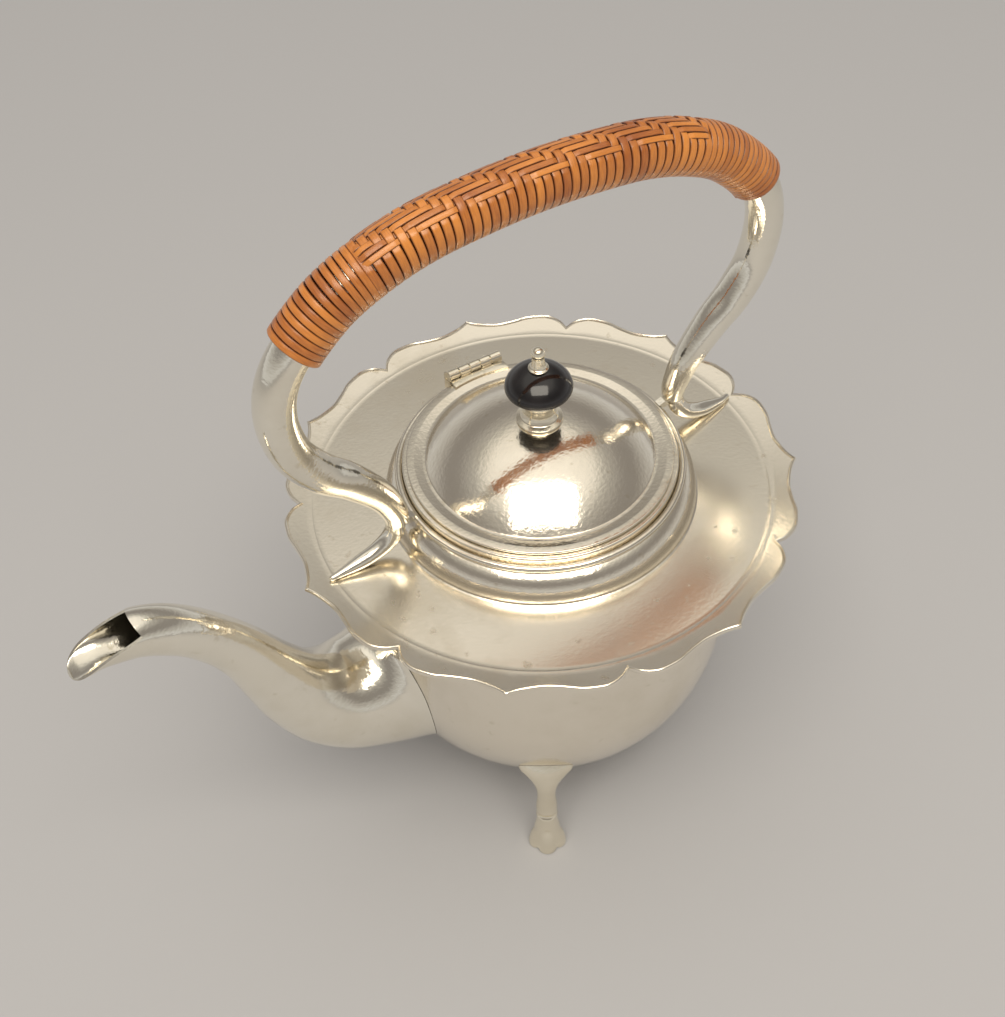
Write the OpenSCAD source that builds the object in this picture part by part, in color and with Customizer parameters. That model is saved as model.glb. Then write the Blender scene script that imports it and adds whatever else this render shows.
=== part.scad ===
// Spirit kettle in silver plate: globe body on three cast feet, wide scalloped flange, swan-neck spout,
// overhead tubular handle bound with cane, and a domed lid on a five-knuckle hinge.
// Millimetres. The axis of the body is Z, the feet stand on Z = 0, the spout points to -X, the hinge is at +Y.

/* [Globe body] */
// Outer radius of the globe
globe_r = 60; // [56:0.5:66]
// Height of the globe's centre above the surface it stands on
globe_z = 64; // [60:0.5:68]
// Height of the flat underside of the globe
base_h = 7; // [5:0.5:12]
// Thickness of the body's sheet metal
wall = 1; // [0.8:0.1:1.6]
// How far the bowl draws in between its widest ring and the flange
mouth_inset = 2.5; // [1.5:0.5:5]

/* [Scalloped flange] */
// Height of the flange's flat top
deck_z = 113.2; // [108:0.2:120]
// Thickness of the flange's plate
plate_t = 1; // [0.8:0.1:1.6]
// Radius of the crease where the border starts to rise
crease_r = 70.7; // [68:0.1:73]
// Radius of the outline at the bottom of a notch
notch_r = 74.2; // [73.5:0.1:76]
// Radius of the outline on the crown of a lobe
lobe_r = 79.1; // [78:0.1:82]
// Radius of the outline in the hollow beside a cusp
hollow_r = 76.7; // [76:0.1:78]
// Radius of the outline at the tip of a cusp
cusp_r = 80.2; // [79:0.1:84]
// Number of scallops round the border
scallops = 7; // [5:1:10]
// How far the border rises from the crease to the cusps
border_rise = 1.6; // [0.5:0.1:3]
// Width of the raised edge along the outline
edge_w = 1.1; // [0.8:0.1:1.6]
// Height of the raised edge above the border
edge_h = 0.6; // [0.3:0.1:1.2]

/* [Neck and lid seat] */
// Height of the lid's rim above the flange
neck_h = 14.8; // [13.5:0.1:18]
// Radius of the neck where it stands on the flange
neck_base_r = 47.7; // [46.5:0.1:52]
// Radius of the rounded shoulder of the neck
shoulder_r = 9; // [8:0.1:10]
// Radius of the bead's wire
bead_wire_r = 1.15; // [0.8:0.05:1.5]
// Height of the lid seat ring
seat_h = 3.8; // [3:0.1:5]
// Width of the lid seat ring across its wall
seat_w = 3.6; // [3:0.1:4.5]

/* [Lid] */
// Outer radius of the lid
lid_r = 40.5; // [38:0.1:41.5]
// Thickness of the lid's sheet metal
lid_t = 0.9; // [0.7:0.1:1.4]
// Width of the flat band along the lid's edge
lid_band_w = 2.3; // [1.5:0.1:3]
// Radius at the foot of the dome
dome_foot_r = 34.2; // [31:0.1:36]
// Height of the dome above the rim
dome_h = 14.2; // [10:0.1:18]
// Depth of the hollow that runs round the foot of the dome
brim_dish = 0.5; // [0.2:0.1:0.8]
// Depth of the locating ring under the lid
bezel_h = 4.4; // [3:0.1:6]
// Thickness of the locating ring
bezel_t = 0.8; // [0.6:0.1:1.2]
// Free gap between the locating ring and the seat
bezel_gap = 0.7; // [0.5:0.1:1.2]

/* [Hinge] */
// Length of the hinge
hinge_len = 19; // [16:0.5:26]
// How far the hinge's middle lies to the rear of the lid's middle
hinge_shift = 1.5; // [-3:0.1:3]
// Number of knuckles, the outer ones on the body
knuckles = 5; // [3:2:7]
// Radius of the hinge barrel
barrel_r = 1.8; // [1.6:0.1:2.4]
// Radius of the hinge pin
pin_r = 0.8; // [0.6:0.05:1]
// Free space between neighbouring knuckles
knuckle_gap = 0.15; // [0.1:0.05:0.3]
// Running clearance of the lid's knuckles on the pin
pin_play = 0.05; // [0.03:0.01:0.08]
// Height of the hinge axis above the lid's rim
hinge_rise = 1.2; // [1:0.1:2]
// Distance of the hinge axis beyond the lid's edge
hinge_reach = 2.2; // [2:0.1:3]
// Thickness of the hinge leaves
leaf_t = 0.7; // [0.5:0.1:1]

/* [Finial] */
// Radius of the turned ferrule under the knob
ferrule_r = 6.6; // [5:0.1:8]
// Height of the ferrule
ferrule_h = 5.6; // [4:0.1:8]
// Radius of the black knob
knob_r = 10; // [8:0.1:12]
// Height of the knob below its widest ring
knob_low_h = 7.6; // [6:0.1:10]
// Height of the knob above its widest ring
knob_top_h = 6.6; // [5:0.1:9]
// Radius of the flared skirt on the knob
skirt_r = 3; // [2.4:0.1:4]
// Height of the flared skirt
skirt_h = 4; // [3:0.1:5]
// Radius of the ball on the bolt
ball_r = 2.05; // [1.6:0.05:2.6]
// Radius of the bolt's shank
bolt_r = 1.2; // [1:0.1:1.5]
// Running clearance round the bolt
bolt_play = 0.05; // [0.03:0.01:0.1]

/* [Spout] */
// Thickness of the spout's wall
spout_wall = 0.9; // [0.7:0.1:1.3]
// Radius of the hole from the body into the spout
spout_hole_r = 13; // [8:0.5:15]
// How far the cut-away lip reaches past the end of the closed tube
lip_len = 19.5; // [14:0.5:22]

/* [Feet] */
// Distance of the feet from the axis, measured at the middle of their soles
foot_reach = 60; // [57:0.1:63]
// Angle by which the feet are turned about the axis from the plane of spout and handle
feet_turn = -1.3; // [-5:0.1:5]
// Reach of the middle petal of the foot pad
toe_reach = 6; // [4:0.1:7]
// Reach of the side petals of the foot pad
side_toe_reach = 6.3; // [4:0.1:7]
// Radius of the ankle ring's wire
ankle_wire_r = 0.8; // [0.6:0.1:1.2]
// Radius of the ankle ring, to the middle of its wire
ankle_r = 2.8; // [2.5:0.1:3.2]

/* [Handle] */
// Height of the handle's centreline above the lid's rim
handle_h = 97.3; // [85:0.5:110]
// Half of the width across the handle's centreline
handle_half_w = 78.4; // [74:0.2:84]
// Distance of the handle's ends from the axis
handle_end_x = 49; // [48.4:0.1:50]
// Radius of the tube under the cane
grip_tube_r = 5.7; // [5:0.1:6.2]
// Radius of the tube on its lower bends
bend_r = 5.7; // [5:0.1:6.5]
// Radius of the tube at its two ends
end_r = 4; // [3.8:0.1:4.3]
// Radius at the start of the scrolls
scroll_r = 2.9; // [2.2:0.1:3.2]
// Radius at the tips of the scrolls
scroll_tip_r = 0.9; // [0.6:0.1:1.2]
// How far the rear scroll bows out of the handle's plane in its middle
rear_bow = 2; // [0:0.1:3]

/* [Cane binding] */
// Outer radius of the plain turns
cane_r = 8; // [7.4:0.1:8.6]
// Outer radius of the woven middle
weave_r = 8.25; // [7.6:0.05:9]
// Length of handle from its crown to the front end of the cane
cane_front = 77; // [70:1:82]
// Length of handle from its crown to the rear end of the cane
cane_rear = 82; // [78:1:88]
// Length of the plain turns at the front
front_turns_len = 28; // [24:1:34]
// Length of the plain turns at the rear
rear_turns_len = 32; // [26:1:36]
// Number of plain turns in the model at each end
turns = 12; // [8:1:12]
// Free space between neighbouring turns
turn_gap = 0.55; // [0.45:0.05:0.8]

/* [Hidden] */
$fn = 96;
// Overlap that lets a cut pass clean through a surface
eps = 0.5;
// Space left between curved pieces that are soldered together
joint = 0.05;

// Levels
rim_z = deck_z + neck_h;
deck_under = deck_z - plate_t;
lid_under = rim_z - lid_t;
// The lid hangs this far above its seat
seat_gap = 0.3;
seat_top = lid_under - seat_gap;
seat_foot = seat_top - seat_h;

// Neck radii
bezel_r = dome_foot_r + 3.4;
seat_in_r = bezel_r + bezel_gap;
seat_out_r = seat_in_r + seat_w;
shoulder_x = neck_base_r - shoulder_r;
shoulder_z = seat_foot - sqrt(pow(shoulder_r, 2) - pow(seat_out_r - 0.4 - shoulder_x, 2));
neck_in_r = seat_in_r + 1;
bead_x = seat_out_r + bead_wire_r;
bead_z = seat_foot + 0.95;

// Bowl: the upper side is an arc that stands upright at the widest ring
upper_h = deck_under - globe_z;
upper_r = (pow(mouth_inset, 2) + pow(upper_h, 2)) / (2 * mouth_inset);

// Hinge axis
hinge_y = lid_r + hinge_reach;
hinge_z = rim_z + hinge_rise;
hinge_front = hinge_shift - hinge_len / 2;
hinge_rear = hinge_shift + hinge_len / 2;

// Finial levels
dome_r = (pow(dome_foot_r, 2) + pow(dome_h, 2)) / (2 * dome_h);
dome_top = rim_z + dome_h;
dome_c = dome_top - dome_r;
hollow_z = rim_z - brim_dish;
dome_out_x = sqrt(pow(dome_r, 2) - pow(hollow_z - dome_c, 2));
dome_in_x = sqrt(pow(dome_r - lid_t, 2) - pow(hollow_z - lid_t - dome_c, 2));
hollow_out_x = dome_out_x + 0.9;
band_in = lid_r - lid_band_w;
ferrule_z = dome_top - 0.5;
knob_z = ferrule_z + ferrule_h;
knob_mid = knob_z + knob_low_h;
knob_top = knob_mid + knob_top_h;
ball_z = knob_top + skirt_h + 1.6;
nut_h = 2.2;
nut_r = 3.4;
washer_r = 5;
washer_h = 0.8;
washer_top = dome_c + sqrt(pow(dome_r - lid_t, 2) - pow(washer_r, 2)) - joint;
bolt_hole_r = bolt_r + bolt_play;

// Ring counts of the swept pieces
tube_sides = 24;
scroll_sides = 16;
turn_sides = 6;
rings_per_turn = 24;

// Colours
plate_colour = [0.80, 0.77, 0.70];
cane_colour = [0.76, 0.43, 0.17];
black_colour = [0.04, 0.04, 0.045];

// A smooth curve through the points P, with m steps between neighbours
function crossing(a, b, c, d, t) =
    0.5 * ((2 * b) + (c - a) * t + (2 * a - 5 * b + 4 * c - d) * pow(t, 2) + (3 * b - a - 3 * c + d) * pow(t, 3));
function curve(P, m) =
    let (n = len(P), Q = concat([2 * P[0] - P[1]], P, [2 * P[n - 1] - P[n - 2]]))
    concat([for (i = [0 : n - 2], k = [0 : m - 1]) crossing(Q[i], Q[i + 1], Q[i + 2], Q[i + 3], k / m)],
        [P[n - 1]]);

// Unit vector, and the direction of a list of [x, z, ...] points at entry i
function unit2(v) = [v[0], v[1]] / norm([v[0], v[1]]);
function heading(P, i) = unit2(P[min(i + 1, len(P) - 1)] - P[max(i - 1, 0)]);

// One ring of n points round [x, z], square to the heading t, with its radius a in the plane and b across it
function ring(p, t, a, b, n) =
    [for (j = [0 : n - 1])
        let (w = 360 * j / n)
        [p[0] - t[1] * a * cos(w), b * sin(w), p[1] + t[0] * a * cos(w)]];

// Closed skin over a list of rings that all have the same number of points
module skin(rings) {
    n = len(rings[0]);
    m = len(rings);
    sides = [for (i = [0 : m - 2], j = [0 : n - 1])
        let (k = (j + 1) % n, a = i * n + j, b = (i + 1) * n + j, c = (i + 1) * n + k, d = i * n + k)
        each [[c, b, a], [d, c, a]]];
    first = [[for (j = [n - 1 : -1 : 0]) j]];
    last = [[for (j = [0 : n - 1]) (m - 1) * n + j]];
    polyhedron(points = [for (r = rings) each r], faces = concat(sides, first, last), convexity = 8);
}

// Tube closed at both ends, whose rings go out along the outside and come back along the inside
module sleeve(outside, inside) {
    n = len(outside[0]);
    loop = concat(outside, [for (i = [len(inside) - 1 : -1 : 0]) inside[i]]);
    m = len(loop);
    faces = [for (i = [0 : m - 1], j = [0 : n - 1])
        let (k = (j + 1) % n, q = (i + 1) % m, a = i * n + j, b = q * n + j, c = q * n + k, d = i * n + k)
        each [[c, b, a], [d, c, a]]];
    polyhedron(points = [for (r = loop) each r], faces = faces, convexity = 8);
}

// Globe body

// Half outline of the bowl, drawn in by the given thickness
module bowl_half(inset) {
    floor_z = base_h + inset;
    intersection() {
        translate([0, globe_z]) circle(globe_r - inset);
        translate([0, floor_z]) square([globe_r + eps, globe_z - floor_z]);
    }
    intersection() {
        translate([globe_r - upper_r, globe_z]) circle(upper_r - inset);
        translate([0, globe_z]) square([globe_r + eps, upper_h + (inset > 0 ? eps : 0)]);
    }
}

module body_bowl() {
    color(plate_colour) difference() {
        rotate_extrude() difference() {
            bowl_half(0);
            bowl_half(wall);
        }
        translate([-globe_r - eps, 0, spout_hole_z]) rotate([0, 90, 0]) cylinder(r = spout_hole_r, h = globe_r);
    }
}

// Scalloped flange

// Radius of the outline: f runs from 0 in a notch to 1 on a cusp
crown_at = 0.25;
hollow_at = 0.68;
function scallop_r(f) =
    f < crown_at ? notch_r + (lobe_r - notch_r) * sin(90 * f / crown_at) :
    f < hollow_at ? hollow_r + (lobe_r - hollow_r) * (1 + cos(180 * (f - crown_at) / (hollow_at - crown_at))) / 2 :
    hollow_r + (cusp_r - hollow_r) * (1 - cos(90 * (f - hollow_at) / (1 - hollow_at)));
steps = 12;
module scallop_outline(inset) {
    count = scallops * 2 * steps;
    polygon([for (i = [0 : count - 1])
        let (w = 360 * i / count, k = i % (2 * steps), f = (k > steps ? 2 * steps - k : k) / steps)
        (scallop_r(f) - inset) * [cos(w), sin(w)]]);
}

// Height of the border's top at the radius r
function border_z(r) = deck_z + border_rise * (r - crease_r) / (cusp_r - crease_r);

module scalloped_flange() {
    outer_r = cusp_r + eps;
    color(plate_colour) {
        intersection() {
            rotate_extrude() polygon([[neck_base_r - 6, deck_under], [neck_base_r - 6, deck_z], [crease_r, deck_z],
                [outer_r, border_z(outer_r)], [outer_r, border_z(outer_r) - plate_t], [crease_r, deck_under]]);
            translate([0, 0, deck_under - eps]) linear_extrude(height = 10) scallop_outline(0);
        }
        intersection() {
            rotate_extrude() polygon([[crease_r, deck_z - plate_t / 2], [crease_r, deck_z + edge_h],
                [outer_r, border_z(outer_r) + edge_h], [outer_r, border_z(outer_r) - plate_t / 2]]);
            translate([0, 0, deck_under - eps]) linear_extrude(height = 10) difference() {
                scallop_outline(0);
                scallop_outline(edge_w);
            }
        }
    }
}

// Neck

// Half outline of the neck's rounded shoulder, drawn in by the given thickness
module shoulder_half(inset) {
    top = seat_foot - inset;
    intersection() {
        union() {
            translate([shoulder_x, shoulder_z]) circle(shoulder_r - inset);
            translate([0, deck_z - eps]) square([neck_base_r - inset, shoulder_z - deck_z + eps]);
            translate([0, shoulder_z - eps]) square([shoulder_x, top - shoulder_z + eps]);
        }
        translate([0, deck_z - eps]) square([neck_base_r + eps, top - deck_z + eps]);
    }
}

module neck_solid(gap) {
    rotate_extrude() shoulder_half(-gap);
}

module neck_drum() {
    color(plate_colour) rotate_extrude() intersection() {
        difference() {
            shoulder_half(0);
            shoulder_half(wall);
        }
        translate([neck_in_r, deck_z]) square([neck_base_r, seat_foot - deck_z]);
    }
}

// Ring of the bead, thickened by the given gap
module bead_ring(gap) {
    translate([0, 0, bead_z]) rotate_extrude() translate([bead_x + joint, 0]) circle(bead_wire_r + gap, $fn = 32);
}

// Box that the body's hinge leaf fills at the back of the neck
leaf_back_y = hinge_y + barrel_r + 0.15;
module leaf_box(gap) {
    translate([hinge_front - gap, seat_in_r, seat_foot - 6])
        cube([hinge_len + 2 * gap, leaf_back_y + leaf_t + gap - seat_in_r, 12]);
}

module neck_bead() {
    color(plate_colour) difference() {
        bead_ring(0);
        leaf_box(0.1);
    }
}

module lid_seat_ring() {
    color(plate_colour) rotate_extrude() difference() {
        translate([seat_in_r, seat_foot]) square([seat_w, seat_h]);
        translate([seat_out_r, seat_top]) circle(0.6, $fn = 32);
    }
}

// Spout

// Centreline: distance beyond the globe's side, height above the globe's centre, radius upright, radius across
spout_route = [[-14, -7, 31, 26], [-2, -6.5, 25, 21.4], [6, -9.6, 19, 18.2], [14.6, -7.4, 15.7, 15.7],
               [23.1, 0.1, 14, 14], [30.2, 11, 11.9, 11.9], [35.6, 22.7, 10, 10], [41.1, 35.4, 8.3, 8.3],
               [47, 45.6, 7.4, 7.4], [54.4, 55, 7.1, 7.1], [61.6, 61.2, 7.2, 7.2]];
spout_hole_z = globe_z - 7;
// End of the closed tube, and the lip beyond it
tube_end = [68.5, 64.6];
lip_route = [[0, 0, 7], [0.3, 0.7, 6.7], [0.62, -0.3, 6.1], [0.87, -2, 4.6], [0.97, -3.1, 2.4], [1, -3.6, 0.7]];
spout_lip = [for (p = lip_route) [tube_end[0] + p[0] * lip_len, tube_end[1] + p[1], p[2], p[2]]];
spout_points = [for (p = concat(spout_route, spout_lip)) [-globe_r - p[0], globe_z + p[1], p[2], p[3]]];
spout_path = curve(spout_points, 2);

// Radius just outside the bowl's metal at the height z, and the bowl's surface at a point's y and z
spout_joint = 0.1;
function bowl_r(z) = z < globe_z ? sqrt(pow(globe_r + spout_joint, 2) - pow(z - globe_z, 2)) :
    globe_r + spout_joint - upper_r + sqrt(pow(upper_r, 2) - pow(z - globe_z, 2));
function bowl_x(p) = -sqrt(pow(bowl_r(p[2]), 2) - pow(p[1], 2));
function spout_ring(i, inset) = ring(spout_path[i], heading(spout_path, i), spout_path[i][2] - inset,
    spout_path[i][3] - inset, tube_sides);
function root_ring(inset) =
    [for (p = spout_ring(2, inset)) [bowl_x(p), p[1], p[2]]];

module spout() {
    last = len(spout_path) - 1;
    outside = concat([root_ring(0)], [for (i = [3 : last]) spout_ring(i, 0)]);
    inside = concat([root_ring(spout_wall)], [for (i = [3 : last - 3]) spout_ring(i, spout_wall)]);
    n = tube_sides;
    a = len(outside);
    b = len(inside);
    outer_faces = [for (i = [0 : a - 2], j = [0 : n - 1])
        let (k = (j + 1) % n, p = i * n + j, q = (i + 1) * n + j, r = (i + 1) * n + k, s = i * n + k)
        each [[r, q, p], [s, r, p]]];
    inner_faces = [for (i = [0 : b - 2], j = [0 : n - 1])
        let (k = (j + 1) % n, o = a * n, p = o + i * n + j, q = o + (i + 1) * n + j, r = o + (i + 1) * n + k,
             s = o + i * n + k)
        each [[p, q, r], [p, r, s]]];
    root_faces = [for (j = [0 : n - 1])
        let (k = (j + 1) % n, o = a * n)
        each [[j, o + j, o + k], [j, o + k, k]]];
    tip = [[for (j = [0 : n - 1]) (a - 1) * n + j]];
    inner_tip = [[for (j = [n - 1 : -1 : 0]) (a + b - 1) * n + j]];
    end_x = -globe_r - tube_end[0];
    end_z = globe_z + tube_end[1];
    color(plate_colour) difference() {
        polyhedron(points = [for (r = concat(outside, inside)) each r],
            faces = concat(outer_faces, inner_faces, root_faces, tip, inner_tip), convexity = 10);
        // the lip is cut away above a line that falls towards its tip
        rotate([90, 0, 0]) linear_extrude(height = 40, center = true)
            polygon([[end_x + 0.6, end_z], [end_x - 3.6, end_z + 10], [end_x - lip_len - 5, end_z + 10],
                [end_x - lip_len - 5, end_z - 4.4]]);
    }
}

// Feet

// Leg from the globe down to the pad: distance from the sole's middle, height, half thickness, half width
leg_route = [[-9.8, 42.8, 4.6, 8.6], [-6.1, 38.8, 3.6, 8.8], [-4.8, 36.5, 3.3, 6.7], [-3.9, 33.9, 3, 4.6],
             [-3.2, 30.5, 2.7, 3.3], [-2.8, 27, 2.6, 3], [-2.6, 23.5, 2.9, 3.3], [-2.4, 20, 3, 3.5], [-2.2, 17.2, 2.5, 3],
             [-2.2, 13.5, 2.9, 3.4], [-2.4, 9.5, 3, 4.2], [-2.6, 5.5, 2.8, 4.2], [-2.6, -1, 2.6, 3.6]];
// Petal of the pad: distance forward, height, half thickness, half width
petal_route = [[-1.4, 13.8, 1.6, 1.8], [0, 10.2, 2.2, 2.4], [1.6, 6.6, 2.7, 2.9], [3.2, 3.2, 2.8, 3.1],
               [4.2, 0.6, 2.4, 2.8], [4.6, -1.2, 2, 2.4]];
ankle_z = 16.9;

// One petal, its length set by the reach and its width by the factor
module petal(reach, factor) {
    path = [for (p = curve(petal_route, 2)) [p[0] * reach, p[1], p[2], p[3] * factor]];
    skin([for (i = [0 : len(path) - 1]) ring(path[i], heading(path, i), path[i][2], path[i][3], 18)]);
}

module foot() {
    path = [for (p = curve(leg_route, 1)) [foot_reach + p[0], p[1], p[2], p[3]]];
    color(plate_colour) difference() {
        union() {
            skin([for (i = [0 : len(path) - 1]) ring(path[i], heading(path, i), path[i][2], path[i][3], 20)]);
            translate([foot_reach - 2.3, 0, ankle_z]) rotate_extrude()
                translate([ankle_r, 0]) circle(ankle_wire_r, $fn = 24);
            translate([foot_reach - 2.6, 0, 0]) {
                petal(toe_reach / 6.6, 1.08);
                for (s = [-1, 1]) rotate([0, 0, s * 74]) petal(side_toe_reach / 6.6, 1);
            }
        }
        translate([0, 0, globe_z]) sphere(globe_r + joint, $fn = 192);
        translate([foot_reach - 4 * toe_reach, -4 * toe_reach, -4 * eps]) cube([8 * toe_reach, 8 * toe_reach, 4 * eps]);
    }
}

module foot_rear() { rotate([0, 0, feet_turn]) foot(); }
module foot_left() { rotate([0, 0, feet_turn + 240]) foot(); }
module foot_right() { rotate([0, 0, feet_turn + 120]) foot(); }

// Handle

// One half of the centreline, from the crown down to the end on the neck: x, z, radius of the tube
end_z = rim_z - 1.7;
arm_span = handle_half_w - handle_end_x;
half_route = [for (p = [[0, 1], [0.21, 0.993], [0.43, 0.972], [0.62, 0.925], [0.785, 0.852], [0.945, 0.718], [1, 0.58]])
    [p[0], p[1], grip_tube_r]];
arm_route = [[0.93, 0.427, bend_r], [0.7, 0.308, bend_r], [0.43, 0.226, bend_r - 0.4], [0.15, 0.118, end_r + 0.6],
             [0.02, 0.03, end_r], [0, 0, end_r - 0.5]];
half_points = concat(
    [for (p = half_route) [p[0] * handle_half_w, rim_z + p[1] * handle_h, p[2]]],
    [for (p = arm_route) [handle_end_x + p[0] * arm_span, p[1] == 0 ? end_z : rim_z + p[1] * handle_h, p[2]]]);
all_points = concat([for (i = [len(half_points) - 1 : -1 : 1]) let (p = half_points[i]) [-p[0], p[1], p[2]]],
    half_points);
handle_path = curve(all_points, 8);
handle_len = [for (i = 0, s = 0; i < len(handle_path);
    s = s + (i < len(handle_path) - 1 ? norm([handle_path[i + 1][0] - handle_path[i][0],
        handle_path[i + 1][1] - handle_path[i][1]]) : 0), i = i + 1) s];
half_len = handle_len[len(handle_len) - 1] / 2;
x_table = [for (i = [0 : len(handle_path) - 1]) [handle_len[i] - half_len, handle_path[i][0]]];
z_table = [for (i = [0 : len(handle_path) - 1]) [handle_len[i] - half_len, handle_path[i][1]]];
r_table = [for (i = [0 : len(handle_path) - 1]) [handle_len[i] - half_len, handle_path[i][2]]];

// Point, radius and heading of the handle at the length s from its crown, positive towards the rear
function handle_at(s) = [lookup(s, x_table), lookup(s, z_table), lookup(s, r_table)];
function handle_way(s) =
    let (a = max(s - 1, -half_len), b = min(s + 1, half_len))
    s <= 1 - half_len ? [0, 1] : s >= half_len - 1 ? [0, -1] : unit2(handle_at(b) - handle_at(a));
function handle_ring(s, r, n) = ring(handle_at(s), handle_way(s), r, r, n);

module handle_tube() {
    count = 56;
    color(plate_colour) skin([for (i = [0 : count])
        let (s = -half_len + 2 * half_len * i / count)
        handle_ring(s, handle_at(s)[2], tube_sides)]);
}

// Scroll from under the end of the tube, round and out along the flange: x, z and radius
scroll_start_x = handle_end_x + end_r - 0.5 - scroll_r;
scroll_mid_r = (scroll_r + scroll_tip_r) / 2 + 0.3;
scroll_tip_x = crease_r + 0.6;
scroll_route = [[scroll_start_x, end_z - joint, scroll_r], [scroll_start_x + 0.4, end_z - 3.4, scroll_r],
                [scroll_start_x + 3, deck_z + scroll_r + 3.3, scroll_r - 0.1],
                [scroll_start_x + 7.4, deck_z + scroll_r + 0.9, scroll_r - 0.4],
                [scroll_start_x + 12.5, deck_z + scroll_mid_r + 0.25, scroll_mid_r],
                [scroll_tip_x - 3, deck_z + scroll_tip_r + 0.55, scroll_tip_r + 0.35],
                [scroll_tip_x, border_z(scroll_tip_x) + scroll_tip_r + joint, scroll_tip_r]];

module scroll(bow) {
    path = curve(scroll_route, 3);
    last = len(path) - 1;
    color(plate_colour) skin([for (i = [0 : last])
        [for (p = ring(path[i], i == 0 ? [0, -1] : heading(path, i), path[i][2], path[i][2], scroll_sides))
            p - [0, bow * sin(180 * i / last), 0]]]);
}

module front_scroll() { mirror([1, 0, 0]) scroll(0); }
module rear_scroll() { scroll(rear_bow); }

// Strut from the end of the tube to the neck's bead
strut_w = 2.4;
module strut() {
    out_x = scroll_start_x - scroll_r - 0.1;
    color(plate_colour) difference() {
        rotate([90, 0, 0]) linear_extrude(height = strut_w, center = true) difference() {
            polygon([[bead_x, bead_z], [bead_x, end_z - 0.8], [out_x - 1.2, end_z - joint], [out_x, end_z - joint],
                [out_x, bead_z + 0.4], [out_x - 0.5, bead_z - 0.2]]);
            translate([bead_x, bead_z]) circle(bead_wire_r + 2 * joint, $fn = 48);
        }
        bead_ring(joint);
    }
}

module front_strut() { mirror([1, 0, 0]) strut(); }
module rear_strut() { strut(); }

// Cane binding

// Winding of plain turns between two lengths along the handle
wire_r = (cane_r - grip_tube_r - 0.12) / 2;
function turn_centre_r() = cane_r - wire_r;
function winding_ring(s, w, pitch) =
    let (p = handle_at(s), t = handle_way(s), bend = handle_bend(s),
         away = [-t[1] * cos(w), sin(w), t[0] * cos(w)],
         along = [t[0], 0, t[1]],
         c = [p[0], 0, p[1]] + turn_centre_r() * away,
         half = (pitch * (1 - bend * turn_centre_r() * cos(w)) - turn_gap) / 2)
    [for (j = [0 : turn_sides - 1])
        let (v = 360 * j / turn_sides)
        c + wire_r * cos(v) * away - half * sin(v) / sin(60) * along];
// Curvature of the handle at the length s, positive where its outer side is stretched
function handle_bend(s) =
    let (a = handle_way(s - 3), b = handle_way(s + 3))
    (a[0] * b[1] - a[1] * b[0]) / 6;
function winding(s0, s1, count) =
    let (n = count * rings_per_turn, pitch = abs(s1 - s0) / (count + 1))
    [for (i = [0 : n])
        let (u = i / n, s = s0 + (s1 - s0) * (0.5 + count * u) / (count + 1))
        winding_ring(s, 360 * count * u, pitch)];
// Least distance between the points of neighbouring turns
function least_gap(rings) =
    min([for (i = [0 : len(rings) - 1 - rings_per_turn], j = [0 : turn_sides - 1], k = [0 : turn_sides - 1],
        d = [-1, 0, 1])
        let (q = i + rings_per_turn + d)
        q < len(rings) ? norm(rings[i][j] - rings[q][k]) : 99]);

module cane_front_turns() {
    rings = winding(-cane_front, -cane_front + front_turns_len, turns);
    echo(str("least gap of the front turns ", least_gap(rings), " mm"));
    color(cane_colour) wound(rings);
}

module cane_rear_turns() {
    rings = winding(cane_rear - rear_turns_len, cane_rear, turns);
    echo(str("least gap of the rear turns ", least_gap(rings), " mm"));
    color(cane_colour) wound(rings);
}

// Skin over a winding's rings, triangles throughout
module wound(rings) {
    n = turn_sides;
    m = len(rings);
    sides = [for (i = [0 : m - 2], j = [0 : n - 1])
        let (k = (j + 1) % n, a = i * n + j, b = (i + 1) * n + j, c = (i + 1) * n + k, d = i * n + k)
        each [[c, b, a], [d, c, a]]];
    first = [for (j = [1 : n - 2]) [0, j + 1, j]];
    last = [for (j = [1 : n - 2]) [(m - 1) * n, (m - 1) * n + j, (m - 1) * n + j + 1]];
    polyhedron(points = [for (r = rings) each r], faces = concat(sides, first, last), convexity = 12);
}

module cane_woven_grip() {
    s0 = -cane_front + front_turns_len + 0.3;
    s1 = cane_rear - rear_turns_len - 0.3;
    count = 18;
    at = [for (i = [0 : count]) s0 + (s1 - s0) * i / count];
    color(cane_colour) sleeve([for (s = at) handle_ring(s, weave_r, tube_sides)],
        [for (s = at) handle_ring(s, grip_tube_r + 0.08, tube_sides)]);
}

// Hinge

pitch_x = hinge_len / knuckles;
// Knuckle number i, counted from the spout's side, as a plain barrel
module barrel(i, bore) {
    x = knuckle_span(i);
    length = x[1] - x[0];
    translate([x[0], hinge_y, hinge_z]) rotate([0, 90, 0])
        difference() {
            cylinder(r = barrel_r, h = length, $fn = 48);
            translate([0, 0, -eps]) cylinder(r = bore, h = length + 2 * eps, $fn = 48);
        }
}

// Plain block from corner a to corner b
module block(a, b) {
    translate(a) cube(b - a);
}

// Part of the hinge's length that knuckle i takes up, as [low, high]
function knuckle_span(i) = [hinge_front + i * pitch_x + (i == 0 ? 0 : knuckle_gap / 2),
    hinge_front + (i + 1) * pitch_x - (i == knuckles - 1 ? 0 : knuckle_gap / 2)];

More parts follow.
